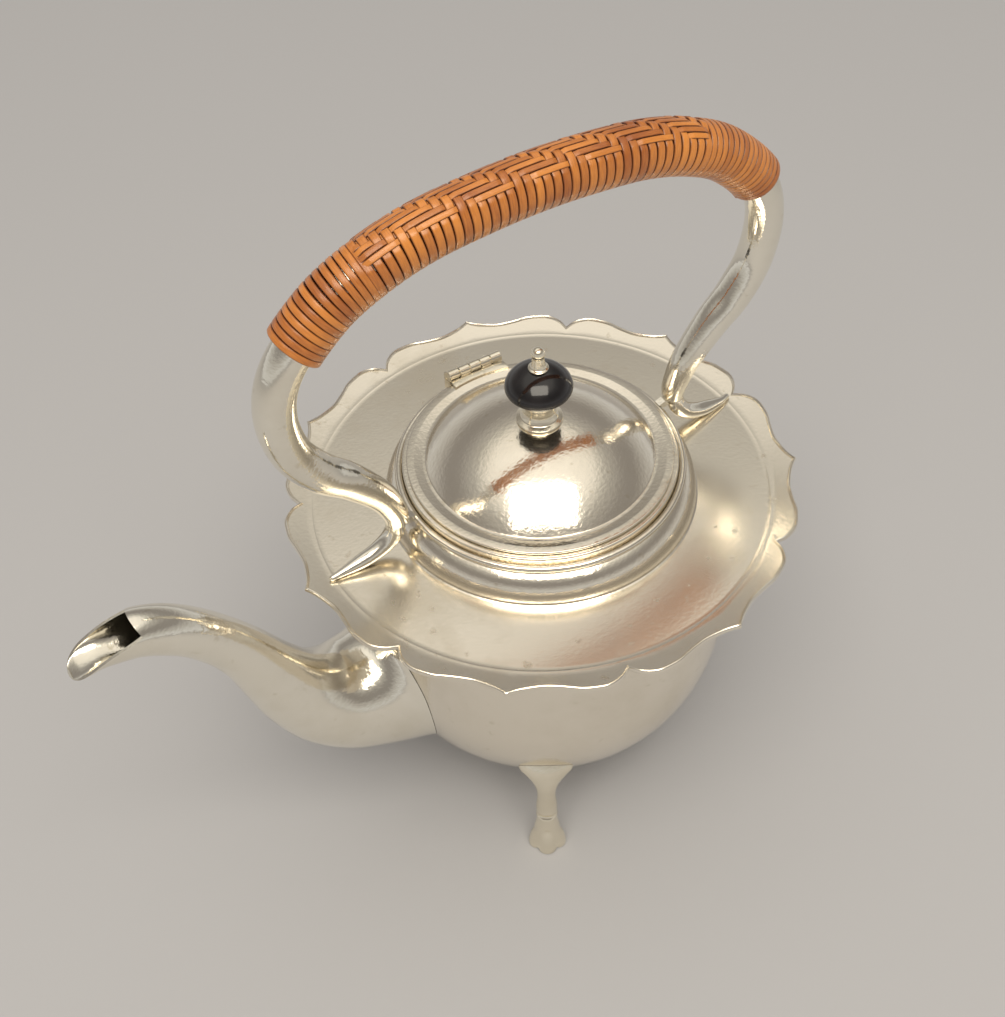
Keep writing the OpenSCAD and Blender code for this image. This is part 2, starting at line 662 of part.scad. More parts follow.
module body_hinge_leaf() {
    color(plate_colour) difference() {
        union() {
            for (i = [0 : 2 : knuckles - 1]) {
                barrel(i, pin_r);
                x = knuckle_span(i);
                difference() {
                    block([x[0], hinge_y, hinge_z - barrel_r], [x[1], leaf_back_y + leaf_t / 2, hinge_z]);
                    translate([x[0] - eps, hinge_y, hinge_z]) rotate([0, 90, 0])
                        cylinder(r = barrel_r - 0.3, h = x[1] - x[0] + 2 * eps, $fn = 48);
                }
            }
            block([hinge_front, leaf_back_y, shoulder_z], [hinge_rear, leaf_back_y + leaf_t, hinge_z - 0.1]);
            block([hinge_front, seat_in_r, seat_foot - 5], [hinge_rear, leaf_back_y + leaf_t / 2, hinge_z - barrel_r - 0.25]);
        }
        translate([0, 0, shoulder_z]) cylinder(r = seat_out_r + joint, h = 20, $fn = 192);
        neck_solid(joint);
    }
}

module hinge_pin() {
    color(plate_colour) translate([hinge_front, hinge_y, hinge_z]) rotate([0, 90, 0])
        cylinder(r = pin_r, h = hinge_len, $fn = 48);
}

module lid_hinge_leaf() {
    color(plate_colour) {
        difference() {
            block([hinge_front, hinge_y - barrel_r - 6, rim_z + joint],
                [hinge_rear, hinge_y - barrel_r - 0.3, rim_z + joint + leaf_t]);
            translate([0, 0, rim_z - eps]) cylinder(r = lid_r - lid_band_w + 0.1, h = 5, $fn = 192);
        }
        for (i = [1 : 2 : knuckles - 2]) {
            barrel(i, pin_r + pin_play);
            x = knuckle_span(i);
            difference() {
                block([x[0], hinge_y - barrel_r - 0.6, rim_z + joint], [x[1], hinge_y, rim_z + joint + leaf_t]);
                translate([x[0] - eps, hinge_y, hinge_z]) rotate([0, 90, 0])
                    cylinder(r = barrel_r - 0.3, h = x[1] - x[0] + 2 * eps, $fn = 48);
            }
        }
    }
}

// Lid

// Points of the dome's outline on the radius r, from the bolt's hole out to the distance x
function cap(r, x) =
    let (first = asin(bolt_hole_r / r), last = asin(x / r))
    [for (i = [0 : 24]) let (w = first + (last - first) * i / 24) [r * sin(w), dome_c + r * cos(w)]];

module lid_dome() {
    underside = cap(dome_r - lid_t, dome_in_x);
    color(plate_colour) rotate_extrude() polygon(concat(cap(dome_r, dome_out_x),
        [[hollow_out_x, hollow_z], [band_in, rim_z], [lid_r - 0.3, rim_z], [lid_r, rim_z - 0.3], [lid_r, lid_under],
         [band_in, lid_under], [hollow_out_x, hollow_z - lid_t]],
        [for (i = [24 : -1 : 0]) underside[i]]));
}

// Height of the lid's underside at the radius r, between the hollow and the flat band
function under_z(r) = lid_under - brim_dish * (band_in - r) / (band_in - hollow_out_x);

module lid_bezel() {
    low = lid_under - bezel_h;
    inner = bezel_r - bezel_t;
    color(plate_colour) rotate_extrude() polygon([[inner, low], [bezel_r - 0.3, low], [bezel_r, low + 0.5],
        [bezel_r, under_z(bezel_r) - joint], [inner, under_z(inner) - joint]]);
}

// Finial

module finial_ferrule() {
    mid = ferrule_h / 2;
    color(plate_colour) difference() {
        translate([0, 0, ferrule_z]) rotate_extrude() difference() {
            union() {
                intersection() {
                    translate([ferrule_r - mid, mid]) circle(mid, $fn = 48);
                    square([ferrule_r + eps, ferrule_h]);
                }
                square([ferrule_r - mid, ferrule_h]);
                translate([0, ferrule_h - 0.9]) square([ferrule_r - 1.1, 0.9]);
            }
            translate([0, -eps]) square([bolt_hole_r, ferrule_h + 2 * eps]);
        }
        translate([0, 0, dome_c]) sphere(dome_r + joint, $fn = 192);
    }
}

// Half outline of the knob, from its underside to its top
knob_route = [[ferrule_r - 1.6, 0], [ferrule_r + 0.2, 0.25], [knob_r - 1.5, knob_low_h * 0.52],
              [knob_r - 0.15, knob_low_h - 0.9],
              [knob_r - 0.1, knob_low_h + 0.5], [knob_r - 1.6, knob_low_h + knob_top_h * 0.36],
              [knob_r * 0.55, knob_low_h + knob_top_h * 0.75], [skirt_r, knob_low_h + knob_top_h * 0.97],
              [skirt_r - 1, knob_low_h + knob_top_h]];

module finial_knob() {
    color(black_colour) translate([0, 0, knob_z + joint]) rotate_extrude() difference() {
        polygon(concat([[0, 0]], curve(knob_route, 5), [[0, knob_low_h + knob_top_h]]));
        translate([0, -eps]) square([bolt_hole_r, knob_low_h + knob_top_h + 2 * eps]);
    }
}

module finial_skirt() {
    waist = bolt_hole_r + 0.5;
    color(plate_colour) translate([0, 0, knob_top + 2 * joint]) rotate_extrude()
        polygon(concat([[bolt_hole_r, 0]],
            curve([[skirt_r - 0.3, 0], [skirt_r, 0.35], [skirt_r - 0.8, 0.9],
                [waist + 0.2, skirt_h * 0.55], [waist, skirt_h]], 4),
            [[bolt_hole_r, skirt_h]]));
}

module finial_bolt() {
    collar_z = knob_top + skirt_h + 2 * joint + joint;
    color(plate_colour) rotate_extrude() {
        intersection() {
            translate([0, ball_z]) circle(ball_r, $fn = 64);
            translate([0, collar_z]) square([ball_r, ball_z + ball_r - collar_z]);
        }
        translate([0, collar_z]) square([bolt_r + 0.45, ball_z - collar_z - ball_r * 0.6]);
        translate([0, washer_top - washer_h - nut_h - 1]) square([bolt_r, ball_z - washer_top + washer_h + nut_h + 1]);
    }
}

module lid_washer() {
    color(plate_colour) translate([0, 0, washer_top - washer_h]) difference() {
        cylinder(r = washer_r, h = washer_h, $fn = 64);
        translate([0, 0, -eps]) cylinder(r = bolt_hole_r, h = washer_h + 2 * eps, $fn = 48);
    }
}

module lid_nut() {
    color(plate_colour) translate([0, 0, washer_top - washer_h - nut_h]) difference() {
        cylinder(r = nut_r, h = nut_h - joint, $fn = 6);
        translate([0, 0, -eps]) cylinder(r = bolt_hole_r, h = nut_h + 2 * eps, $fn = 48);
    }
}

body_bowl();
scalloped_flange();
neck_drum();
neck_bead();
lid_seat_ring();
spout();
foot_rear();
foot_left();
foot_right();
handle_tube();
front_scroll();
rear_scroll();
front_strut();
rear_strut();
cane_front_turns();
cane_woven_grip();
cane_rear_turns();
body_hinge_leaf();
hinge_pin();
lid_hinge_leaf();
lid_dome();
lid_bezel();
finial_ferrule();
finial_knob();
finial_skirt();
finial_bolt();
lid_washer();
lid_nut();
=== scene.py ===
# Spirit kettle: plated globe body with a scalloped flange, swan-neck spout, cast feet and hinged domed lid,
# a turned black knob, and an overhead tubular handle bound with woven cane.
import math

import bmesh
import bpy
import numpy as np
from mathutils import Matrix, Vector


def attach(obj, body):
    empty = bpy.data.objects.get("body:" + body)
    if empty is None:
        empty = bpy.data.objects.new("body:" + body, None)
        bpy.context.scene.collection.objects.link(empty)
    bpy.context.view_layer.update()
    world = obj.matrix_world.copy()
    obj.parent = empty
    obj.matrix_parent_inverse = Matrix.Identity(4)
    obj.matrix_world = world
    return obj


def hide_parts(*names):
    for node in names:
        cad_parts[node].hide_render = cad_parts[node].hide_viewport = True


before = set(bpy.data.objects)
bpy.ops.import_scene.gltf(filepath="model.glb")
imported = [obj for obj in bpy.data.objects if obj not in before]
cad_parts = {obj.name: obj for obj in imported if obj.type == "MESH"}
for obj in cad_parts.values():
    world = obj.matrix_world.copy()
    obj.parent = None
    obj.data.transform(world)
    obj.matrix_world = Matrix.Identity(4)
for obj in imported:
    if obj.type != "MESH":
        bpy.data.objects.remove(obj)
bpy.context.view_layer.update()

MM = 0.001

# ---- sizes of the kettle, in millimetres ----
GLOBE_R, GLOBE_Z, BASE_H, WALL, MOUTH_INSET = 60.0, 64.0, 7.0, 1.0, 2.5
DECK_Z, PLATE_T, CREASE_R, BORDER_RISE, CUSP_R = 113.2, 1.0, 70.7, 1.6, 80.2
RIM_Z, LID_R, LID_T = 128.0, 40.5, 0.9
SEAT_IN_R, SEAT_OUT_R, SEAT_FOOT, SEAT_TOP = 38.3, 41.9, 123.0, 126.8
BEAD_X, BEAD_Z, BEAD_R = 43.1, 123.95, 1.13
HINGE_Y, HINGE_Z, HINGE_LEN, HINGE_SHIFT, BARREL_R = 42.7, 129.2, 19.0, 1.5, 1.8
KNOB_Z = 147.3


# ---------------------------------------------------------------- shared mesh tools

def smooth_curve(points, steps):
    """Smooth curve through rows of numbers, with so many steps between neighbours."""
    P = np.asarray(points, float)
    Q = np.vstack([2 * P[0] - P[1], P, 2 * P[-1] - P[-2]])
    out = []
    for i in range(len(P) - 1):
        a, b, c, d = Q[i:i + 4]
        for k in range(steps):
            t = k / steps
            out.append(0.5 * (2 * b + (c - a) * t + (2 * a - 5 * b + 4 * c - d) * t ** 2
                              + (3 * b - a - 3 * c + d) * t ** 3))
    out.append(P[-1])
    return np.array(out)


def softened(points, steps=4):
    """Outline of (r, z) or (r, z, corner radius) with its corners rounded; the outline is open."""
    out = []
    pts = [tuple(p) for p in points]
    for i, p in enumerate(pts):
        if len(p) < 3 or i in (0, len(pts) - 1):
            out.append(p[:2])
            continue
        b = np.array(p[:2])
        u = np.array(pts[i - 1][:2]) - b
        v = np.array(pts[i + 1][:2]) - b
        lu, lv = np.linalg.norm(u), np.linalg.norm(v)
        u, v = u / lu, v / lv
        half = math.acos(max(-1, min(1, float(u @ v)))) / 2
        reach = min(p[2] / math.tan(half), lu * 0.49, lv * 0.49)
        a, c = b + u * reach, b + v * reach
        for k in range(steps + 1):
            t = k / steps
            out.append(tuple((1 - t) ** 2 * a + 2 * t * (1 - t) * b + t ** 2 * c))
    return out


def full_turn(sides):
    """Angles of equal steps round a circle."""
    return [2 * math.pi * k / sides for k in range(sides)]


def arc(cx, cz, r, start, end, count):
    """Points on a circle in the (r, z) plane; angles in degrees from the outward direction."""
    w = np.radians(np.linspace(start, end, count + 1))
    return [(cx + r * math.cos(a), cz + r * math.sin(a)) for a in w]


def turned(outline, sides=160):
    """Vertices and faces of a closed outline turned round the vertical axis."""
    verts, rows = [], []
    for r, z in outline:
        if r < 1e-4:
            rows.append([len(verts)])
            verts.append((0, 0, z))
        else:
            rows.append(list(range(len(verts), len(verts) + sides)))
            verts += [(r * math.cos(w), r * math.sin(w), z) for w in full_turn(sides)]
    faces = []
    for i in range(len(rows)):
        a, b = rows[i], rows[(i + 1) % len(rows)]
        for k in range(sides):
            n = (k + 1) % sides
            if len(a) > 1 and len(b) > 1:
                faces.append((a[k], a[n], b[n], b[k]))
            elif len(a) > 1:
                faces.append((a[k], a[n], b[0]))
            elif len(b) > 1:
                faces.append((a[0], b[n], b[k]))
    return verts, faces


def lofted(rings, caps=True, closed=False):
    """Vertices and faces of a skin over rings that have the same number of points."""
    n, m = len(rings[0]), len(rings)
    verts = [tuple(p) for r in rings for p in r]
    faces = []
    for i in range(m if closed else m - 1):
        for k in range(n):
            j, q = (k + 1) % n, (i + 1) % m
            faces.append((i * n + k, i * n + j, q * n + j, q * n + k))
    if caps and not closed:
        faces.append(tuple(range(n - 1, -1, -1)))
        faces.append(tuple((m - 1) * n + k for k in range(n)))
    return verts, faces


def block(a, b):
    """Vertices and faces of a box between two opposite corners."""
    base = ((a[0], a[1]), (b[0], a[1]), (b[0], b[1]), (a[0], b[1]))
    return lofted([[(x, y, z) for x, y in base] for z in (a[2], b[2])])


def wire_ring(middle_r, z, wire_r, sides, angles, shift=0.0):
    """Rings of a round wire bent about the vertical axis, one at each angle."""
    rings = []
    for a in angles:
        reach = [middle_r + wire_r * math.cos(b) for b in full_turn(sides)]
        rings.append([(shift + r * math.cos(a), r * math.sin(a), z + wire_r * math.sin(b))
                      for r, b in zip(reach, full_turn(sides))])
    return rings


def made(name, verts, faces, sharp=32):
    """New object from millimetre vertices, its faces turned outwards and smooth up to the sharp angle."""
    mesh = bpy.data.meshes.new(name)
    mesh.from_pydata([(x * MM, y * MM, z * MM) for x, y, z in verts], [], faces)
    obj = bpy.data.objects.new(name, mesh)
    bpy.context.scene.collection.objects.link(obj)
    tidy_faces(obj, sharp)
    return obj


def tidy_faces(obj, sharp=32, merge=1e-7):
    """Merges doubles, turns the faces outwards and shades them smooth up to the sharp angle."""
    work = bmesh.new()
    work.from_mesh(obj.data)
    bmesh.ops.remove_doubles(work, verts=work.verts, dist=merge)
    bmesh.ops.dissolve_degenerate(work, dist=merge, edges=work.edges)
    bmesh.ops.recalc_face_normals(work, faces=work.faces)
    if work.calc_volume(signed=True) < 0:
        bmesh.ops.reverse_faces(work, faces=work.faces)
    work.to_mesh(obj.data)
    work.free()
    obj.data.polygons.foreach_set("use_smooth", [True] * len(obj.data.polygons))
    obj.data.set_sharp_from_angle(angle=math.radians(sharp))
    obj.data.update()


def plain_mesh(obj):
    """Turns an object with live modifiers into a plain mesh."""
    bpy.context.view_layer.update()
    mesh = bpy.data.meshes.new_from_object(obj.evaluated_get(bpy.context.evaluated_depsgraph_get()))
    obj.modifiers.clear()
    old = obj.data
    obj.data = mesh
    bpy.data.meshes.remove(old)


def cut(obj, tool, operation="DIFFERENCE"):
    """Boolean of obj with tool; the tool is removed."""
    mod = obj.modifiers.new("cut", "BOOLEAN")
    mod.operation = operation
    mod.solver = "EXACT"
    mod.object = tool
    plain_mesh(obj)
    bpy.data.objects.remove(tool)


def settle(obj, body, slot, material, *nodes):
    """Gives a finished piece its material, its CAD body and the nodes it stands for."""
    obj.data.materials.clear()
    obj.data.materials.append(material)
    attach(obj, body)
    if nodes:
        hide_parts(*nodes)
    return obj


# ---------------------------------------------------------------- materials

def effect_group(name, inputs):
    """Node group that gives a colour, a roughness and a height, with its input and output nodes."""
    group = bpy.data.node_groups.new(name, "ShaderNodeTree")
    for label, kind, value in inputs:
        group.interface.new_socket(label, in_out="INPUT", socket_type=kind).default_value = value
    for label, kind in (("Color", "NodeSocketColor"), ("Roughness", "NodeSocketFloat"), ("Height", "NodeSocketFloat")):
        group.interface.new_socket(label, in_out="OUTPUT", socket_type=kind)
    return group, group.nodes.new("NodeGroupInput"), group.nodes.new("NodeGroupOutput")


def node(tree, kind, **settings):
    n = tree.nodes.new(kind)
    for key, value in settings.items():
        setattr(n, key, value)
    return n


def mix_colour(tree, factor, a, b):
    n = node(tree, "ShaderNodeMix", data_type="RGBA")
    for socket, value in ((n.inputs[0], factor), (n.inputs[6], a), (n.inputs[7], b)):
        if isinstance(value, bpy.types.NodeSocket):
            tree.links.new(value, socket)
        else:
            socket.default_value = value
    return n.outputs[2]


def maths(tree, operation, *values):
    n = node(tree, "ShaderNodeMath", operation=operation)
    for socket, value in zip(n.inputs, values):
        if isinstance(value, bpy.types.NodeSocket):
            tree.links.new(value, socket)
        else:
            socket.default_value = value
    return n.outputs[0]


def ramp(tree, value, low, high):
    n = node(tree, "ShaderNodeMapRange", clamp=True)
    n.inputs[1].default_value, n.inputs[2].default_value = low, high
    tree.links.new(value, n.inputs[0])
    return n.outputs[0]


def noise(tree, place, scale, detail, roughness=0.5):
    n = node(tree, "ShaderNodeTexNoise")
    for key, value in (("Scale", scale), ("Detail", detail), ("Roughness", roughness)):
        n.inputs[key].default_value = value
    tree.links.new(place, n.inputs["Vector"])
    return n.outputs["Fac"]


def object_place(tree):
    return node(tree, "ShaderNodeTexCoord").outputs["Object"]


def plate_wear():
    """Old silver plate: soft clouding, faint tarnish and fine polishing marks."""
    group, gin, gout = effect_group("plate wear",
        [("Bright", "NodeSocketColor", (0.9, 0.84, 0.73, 1)), ("Tarnish", "NodeSocketColor", (0.6, 0.52, 0.38, 1)),
         ("Tarnish Amount", "NodeSocketFloat", 0.35), ("Roughness", "NodeSocketFloat", 0.12),
         ("Dent Height", "NodeSocketFloat", 0.3), ("Scratch Height", "NodeSocketFloat", 0.05)])
    place, amount = object_place(group), gin.outputs["Tarnish Amount"]
    clouds = maths(group, "MULTIPLY", ramp(group, noise(group, place, 26, 5, 0.62), 0.48, 0.72), amount)
    specks = maths(group, "MULTIPLY", ramp(group, noise(group, place, 240, 3), 0.66, 0.74), amount)
    tarnished = maths(group, "ADD", clouds, specks)
    dents = maths(group, "MULTIPLY", noise(group, place, 34, 1), gin.outputs["Dent Height"])
    marks = maths(group, "MULTIPLY", noise(group, place, 900, 2), gin.outputs["Scratch Height"])
    link = group.links.new
    link(mix_colour(group, tarnished, gin.outputs["Bright"], gin.outputs["Tarnish"]), gout.inputs["Color"])
    link(maths(group, "MULTIPLY_ADD", tarnished, 0.22, gin.outputs["Roughness"]), gout.inputs["Roughness"])
    link(maths(group, "ADD", dents, marks), gout.inputs["Height"])
    return group


def cane_grain():
    """Split cane: long fibres, painted shade darkening each strip's long edges where it meets its neighbours, and a
    tone of its own for each strip.
    """
    # Edge is a painted shade colour, nearly black, for the gaps between neighbouring strips
    group, gin, gout = effect_group("cane grain",
        [("Light", "NodeSocketColor", (0.78, 0.29, 0.055, 1)), ("Dark", "NodeSocketColor", (0.36, 0.1, 0.02, 1)),
         ("Edge", "NodeSocketColor", (0.09, 0.02, 0.006, 1)), ("Fibre Height", "NodeSocketFloat", 0.06)])
    # run is the way along a strip, side runs from 0 to 1 across its width, and tone is the strip's own
    run, side, tone = [node(group, "ShaderNodeAttribute", attribute_name=name).outputs["Fac"]
                       for name in ("strip run", "strip side", "strip tone")]
    link = group.links.new
    place = node(group, "ShaderNodeCombineXYZ")
    link(run, place.inputs[0])
    link(maths(group, "MULTIPLY", side, 14.0), place.inputs[1])
    link(maths(group, "MULTIPLY", tone, 37.0), place.inputs[2])
    fibre = noise(group, place.outputs[0], 1.0, 4)
    slow = maths(group, "SUBTRACT", noise(group, object_place(group), 55, 2), 0.5)
    amount = maths(group, "MULTIPLY_ADD", fibre, 0.75, maths(group, "MULTIPLY", tone, 0.35))
    amount = maths(group, "MULTIPLY_ADD", slow, 0.7, amount)
    body = mix_colour(group, ramp(group, amount, 0.3, 0.85), gin.outputs["Light"], gin.outputs["Dark"])
    # painted shade: each strip darkens to the Edge colour towards both long edges, where it meets its neighbours
    edge = maths(group, "ABSOLUTE", maths(group, "SUBTRACT", side, 0.5))
    link(mix_colour(group, ramp(group, edge, 0.34, 0.5), body, gin.outputs["Edge"]), gout.inputs["Color"])
    link(maths(group, "MULTIPLY_ADD", fibre, 0.2, 0.2), gout.inputs["Roughness"])
    link(maths(group, "MULTIPLY", fibre, gin.outputs["Fibre Height"]), gout.inputs["Height"])
    return group


def knob_polish():
    """Polished black with a slight haze of wear."""
    group, gin, gout = effect_group("knob polish",
        [("Black", "NodeSocketColor", (0.006, 0.005, 0.006, 1)), ("Haze", "NodeSocketColor", (0.02, 0.017, 0.018, 1)),
         ("Haze Height", "NodeSocketFloat", 0.005)])
    haze = noise(group, object_place(group), 180, 4)
    link = group.links.new
    link(mix_colour(group, ramp(group, haze, 0.4, 0.75), gin.outputs["Black"], gin.outputs["Haze"]),
         gout.inputs["Color"])
    link(maths(group, "MULTIPLY_ADD", haze, 0.12, 0.06), gout.inputs["Roughness"])
    link(maths(group, "MULTIPLY", haze, gin.outputs["Haze Height"]), gout.inputs["Height"])
    return group


def surfaced(name, effect_tree, shader_values, **values):
    """Material whose colour, roughness and bump come from an effect group with the given values."""
    material = bpy.data.materials.new(name)
    material.use_nodes = True
    tree = material.node_tree
    shader = tree.nodes["Principled BSDF"]
    for key, value in shader_values.items():
        shader.inputs[key].default_value = value
    effect = node(tree, "ShaderNodeGroup", node_tree=effect_tree)
    for key, value in values.items():
        effect.inputs[key.replace("_", " ")].default_value = value
    bump = node(tree, "ShaderNodeBump")
    bump.inputs["Distance"].default_value = MM
    tree.links.new(effect.outputs["Height"], bump.inputs["Height"])
    tree.links.new(bump.outputs["Normal"], shader.inputs["Normal"])
    tree.links.new(effect.outputs["Color"], shader.inputs["Base Color"])
    tree.links.new(effect.outputs["Roughness"], shader.inputs["Roughness"])
    return material


WEAR = plate_wear()


def silver(part, **values):
    """Polished silver plate for one part of the kettle, with the given wear."""
    return surfaced("silver plate, " + part, WEAR, {"Metallic": 1}, **values)


body_silver = silver("body", Roughness=0.14, Dent_Height=0.16, Tarnish_Amount=0.3)
flange_silver = silver("flange", Roughness=0.2, Dent_Height=0.07, Scratch_Height=0.02, Tarnish_Amount=0.4)
lid_silver = silver("lid", Roughness=0.13, Dent_Height=0.06, Tarnish_Amount=0.3)
tube_silver = silver("handle", Roughness=0.1, Dent_Height=0.5, Tarnish_Amount=0.35, Bright=(0.9, 0.86, 0.76, 1))
cast_silver = silver("castings", Roughness=0.16, Dent_Height=0.35, Tarnish_Amount=0.5, Bright=(0.9, 0.84, 0.7, 1))
inside_silver = silver("inside", Roughness=0.4, Dent_Height=0.2, Tarnish_Amount=0.9)
cane = surfaced("split cane", cane_grain(), {"Coat Weight": 0.35, "Coat Roughness": 0.18})
black = surfaced("turned black knob", knob_polish(), {"Coat Weight": 0.25, "Coat Roughness": 0.03})
SILVER, CANE, KNOB = "silver_plate", "cane", "knob_black"


# ---------------------------------------------------------------- globe body

UPPER_H = DECK_Z - PLATE_T - GLOBE_Z
UPPER_R = (MOUTH_INSET ** 2 + UPPER_H ** 2) / (2 * MOUTH_INSET)
HOLE_R, HOLE_DROP, HOLE_INNER_X = 13.0, 7.0, -40.0


def bowl_outline():
    """Section of the bowl's sheet, from the middle of its base up outside and down inside."""
    foot = math.degrees(math.asin((BASE_H - GLOBE_Z) / GLOBE_R))
    inner_foot = math.degrees(math.asin((BASE_H + WALL - GLOBE_Z) / (GLOBE_R - WALL)))
    top = math.degrees(math.asin(UPPER_H / UPPER_R))
    foot_r = math.sqrt(GLOBE_R ** 2 - (GLOBE_Z - BASE_H) ** 2)
    upper_x = GLOBE_R - UPPER_R
    base = [(0, BASE_H), (foot_r * 0.6, BASE_H), (foot_r - 0.8, BASE_H)]
    outside = arc(0, GLOBE_Z, GLOBE_R, foot + 1.2, 0, 72) + arc(upper_x, GLOBE_Z, UPPER_R, 0, top, 14)[1:]
    inside = arc(upper_x, GLOBE_Z, UPPER_R - WALL, top, 0, 14)
    inside += arc(0, GLOBE_Z, GLOBE_R - WALL, 0, inner_foot + 1, 60)[1:]
    return base + outside + inside + [(10, BASE_H + WALL), (0, BASE_H + WALL)]


bowl = made("globe_bowl", *turned(bowl_outline(), 192))
hole = [[(x, HOLE_R * math.cos(a), GLOBE_Z - HOLE_DROP + HOLE_R * math.sin(a)) for a in full_turn(48)]
        for x in (-GLOBE_R - 4, HOLE_INNER_X)]
cut(bowl, made("hole", *lofted(hole)))
tidy_faces(bowl)
settle(bowl, "kettle", SILVER, body_silver, "body_bowl")


# ---------------------------------------------------------------- scalloped flange

SCALLOPS, FLANGE_IN_R, RAISED_W = 7, 41.8, 1.15
# Half a scallop: share of the way from the notch to the cusp, and the edge's radius there
SCALLOP = [(0, 74.2), (0.08, 77.0), (0.2, 78.87), (0.33, 78.87), (0.42, 78.5), (0.5, 77.7), (0.6, 77.0), (0.7, 76.7),
           (0.8, 77.2), (0.9, 78.2), (0.97, 79.4), (1, 80.1)]
EDGE_SHARE, EDGE_R = smooth_curve(SCALLOP, 8).T


def outline_r(angle):
    """Radius of the flange's outline; the angle counts from the middle of a notch."""
    turn = (angle * SCALLOPS / (2 * math.pi)) % 1
    return float(np.interp(2 * min(turn, 1 - turn), EDGE_SHARE, EDGE_R))


def flange_section(outer):
    """Closed section of the flange, from its inner edge out to the given radius."""
    inner = outer - RAISED_W

    def rise(r):
        return DECK_Z + BORDER_RISE * max(0, r - CREASE_R) / (CUSP_R - CREASE_R)

    def border(share, drop=0.0):
        r = CREASE_R + (inner - CREASE_R) * share
        return r, rise(r) - drop

    # the flat deck, the pressed crease, the sloping border, then the raised edge, rounded over
    top = [(r, DECK_Z) for r in (FLANGE_IN_R, 47, 50, 54, 58, 62, 66, 69)]
    top += [(CREASE_R + out, DECK_Z + up) for out, up in ((-0.55, 0), (-0.25, 0.07), (0, 0.12))]
    top += [(CREASE_R + 0.3, rise(CREASE_R + 0.3) + 0.05)] + [border(share) for share in (0.3, 0.65, 1)]
    top += [(inner + out, rise(inner) + up) for out, up in ((0.12, 0.3), (0.3, 0.52))]
    top += [(outer - short, rise(outer) + up)
            for short, up in ((0.55, 0.6), (0.25, 0.5), (0.06, 0.25), (0, -0.1), (0.05, -0.75), (0.3, -0.98))]
    under = [border(share, PLATE_T) for share in (0.8, 0.4)]
    return top + under + [(r, DECK_Z - PLATE_T) for r in (CREASE_R, 64, 57, 50, FLANGE_IN_R)]


rings = []
for w in full_turn(SCALLOPS * 96):
    rings.append([(r * math.cos(w), r * math.sin(w), z) for r, z in flange_section(outline_r(w))])
flange = made("scalloped_flange_plate", *lofted(rings, closed=True), sharp=38)
settle(flange, "kettle", SILVER, flange_silver, "scalloped_flange")


# ---------------------------------------------------------------- neck, bead and lid seat

NECK_X, NECK_Z, NECK_R, NECK_TOP = 38.7, 114.45, 9.0, (39.3, 123.0)
NECK_FOOT_R = NECK_X + NECK_R
neck_outline = [(NECK_FOOT_R - WALL, DECK_Z), (NECK_FOOT_R + 0.6, DECK_Z), (NECK_FOOT_R + 0.15, DECK_Z + 0.25),
                (NECK_FOOT_R, DECK_Z + 0.7)]
neck_outline += arc(NECK_X, NECK_Z, NECK_R, 0, 71.9, 26) + [NECK_TOP, (NECK_TOP[0], NECK_TOP[1] - WALL)]
neck_outline += arc(NECK_X, NECK_Z, NECK_R - WALL, 70, 0, 18)
settle(made("neck_shoulder", *turned(neck_outline, 192)), "kettle", SILVER, body_silver, "neck_drum")

seat_outline = softened([(SEAT_IN_R, SEAT_FOOT + 2), (SEAT_IN_R, SEAT_FOOT), (SEAT_OUT_R, SEAT_FOOT),
                         (SEAT_OUT_R, SEAT_TOP, 0.5), (SEAT_IN_R, SEAT_TOP, 0.4), (SEAT_IN_R, SEAT_FOOT + 2)])
settle(made("lid_seat", *turned(seat_outline, 160)), "kettle", SILVER, body_silver, "lid_seat_ring")

# the ring of wire has a gap where the hinge leaf stands
BEAD_GAP = 0.15
gap_start = math.acos((HINGE_SHIFT - HINGE_LEN / 2 - BEAD_GAP) / BEAD_X)
gap_end = math.acos((HINGE_SHIFT + HINGE_LEN / 2 + BEAD_GAP) / BEAD_X)
bead = wire_ring(BEAD_X, BEAD_Z, BEAD_R, 16, np.linspace(gap_start, gap_end + 2 * math.pi, 220))
settle(made("neck_bead_wire", *lofted(bead)), "kettle", SILVER, body_silver, "neck_bead")


# ---------------------------------------------------------------- paths in the plane of spout and handle

def headings(path):
    """Unit directions of a path's first two columns."""
    d = np.gradient(path[:, :2], axis=0)
    return d / np.linalg.norm(d, axis=1)[:, None]


def upright_rings(path, sides, ways=None):
    """Rings square to a path of x, z, radius in the plane, radius across."""
    ways = headings(path) if ways is None else ways
    return [[(x - tz * a * math.cos(w), b * math.sin(w), z + tx * a * math.cos(w)) for w in full_turn(sides)]
            for (x, z, a, b), (tx, tz) in zip(path, ways)]


# ---------------------------------------------------------------- spout

# Rings of the tube and its lip: the top point and the bottom point beyond the globe's side and above its centre, then
# half the width
SPOUT = [(-12, 27, -12, -36, 27), (-2.5, 20.5, -8.5, -33, 23), (3.2, 14.8, 7, -28.6, 19.4),
         (8.2, 12.9, 22, -21.2, 17.2), (13.3, 13.1, 33.6, -9, 14.7), (19.8, 17.6, 40.6, 5.2, 12),
         (26.5, 26.9, 44.7, 18.6, 10), (33.7, 39.1, 48.5, 31.7, 8.3), (40.9, 49.8, 53.1, 41.4, 7.4),
         (49.2, 59.9, 59.6, 50.1, 7.1), (57.5, 67.2, 65.7, 55.2, 7.1), (66.3, 71.4, 70.3, 57.9, 6.9),
         (74, 71.8, 75.5, 59.2, 6.5), (79.5, 69.7, 79.8, 60.3, 6.2), (83, 66.4, 83, 60.4, 5.9),
         (85.8, 63.3, 85.8, 60.1, 4.8), (87.4, 61.2, 87.4, 59.8, 2.9), (88, 60.3, 88, 59.7, 0.9)]
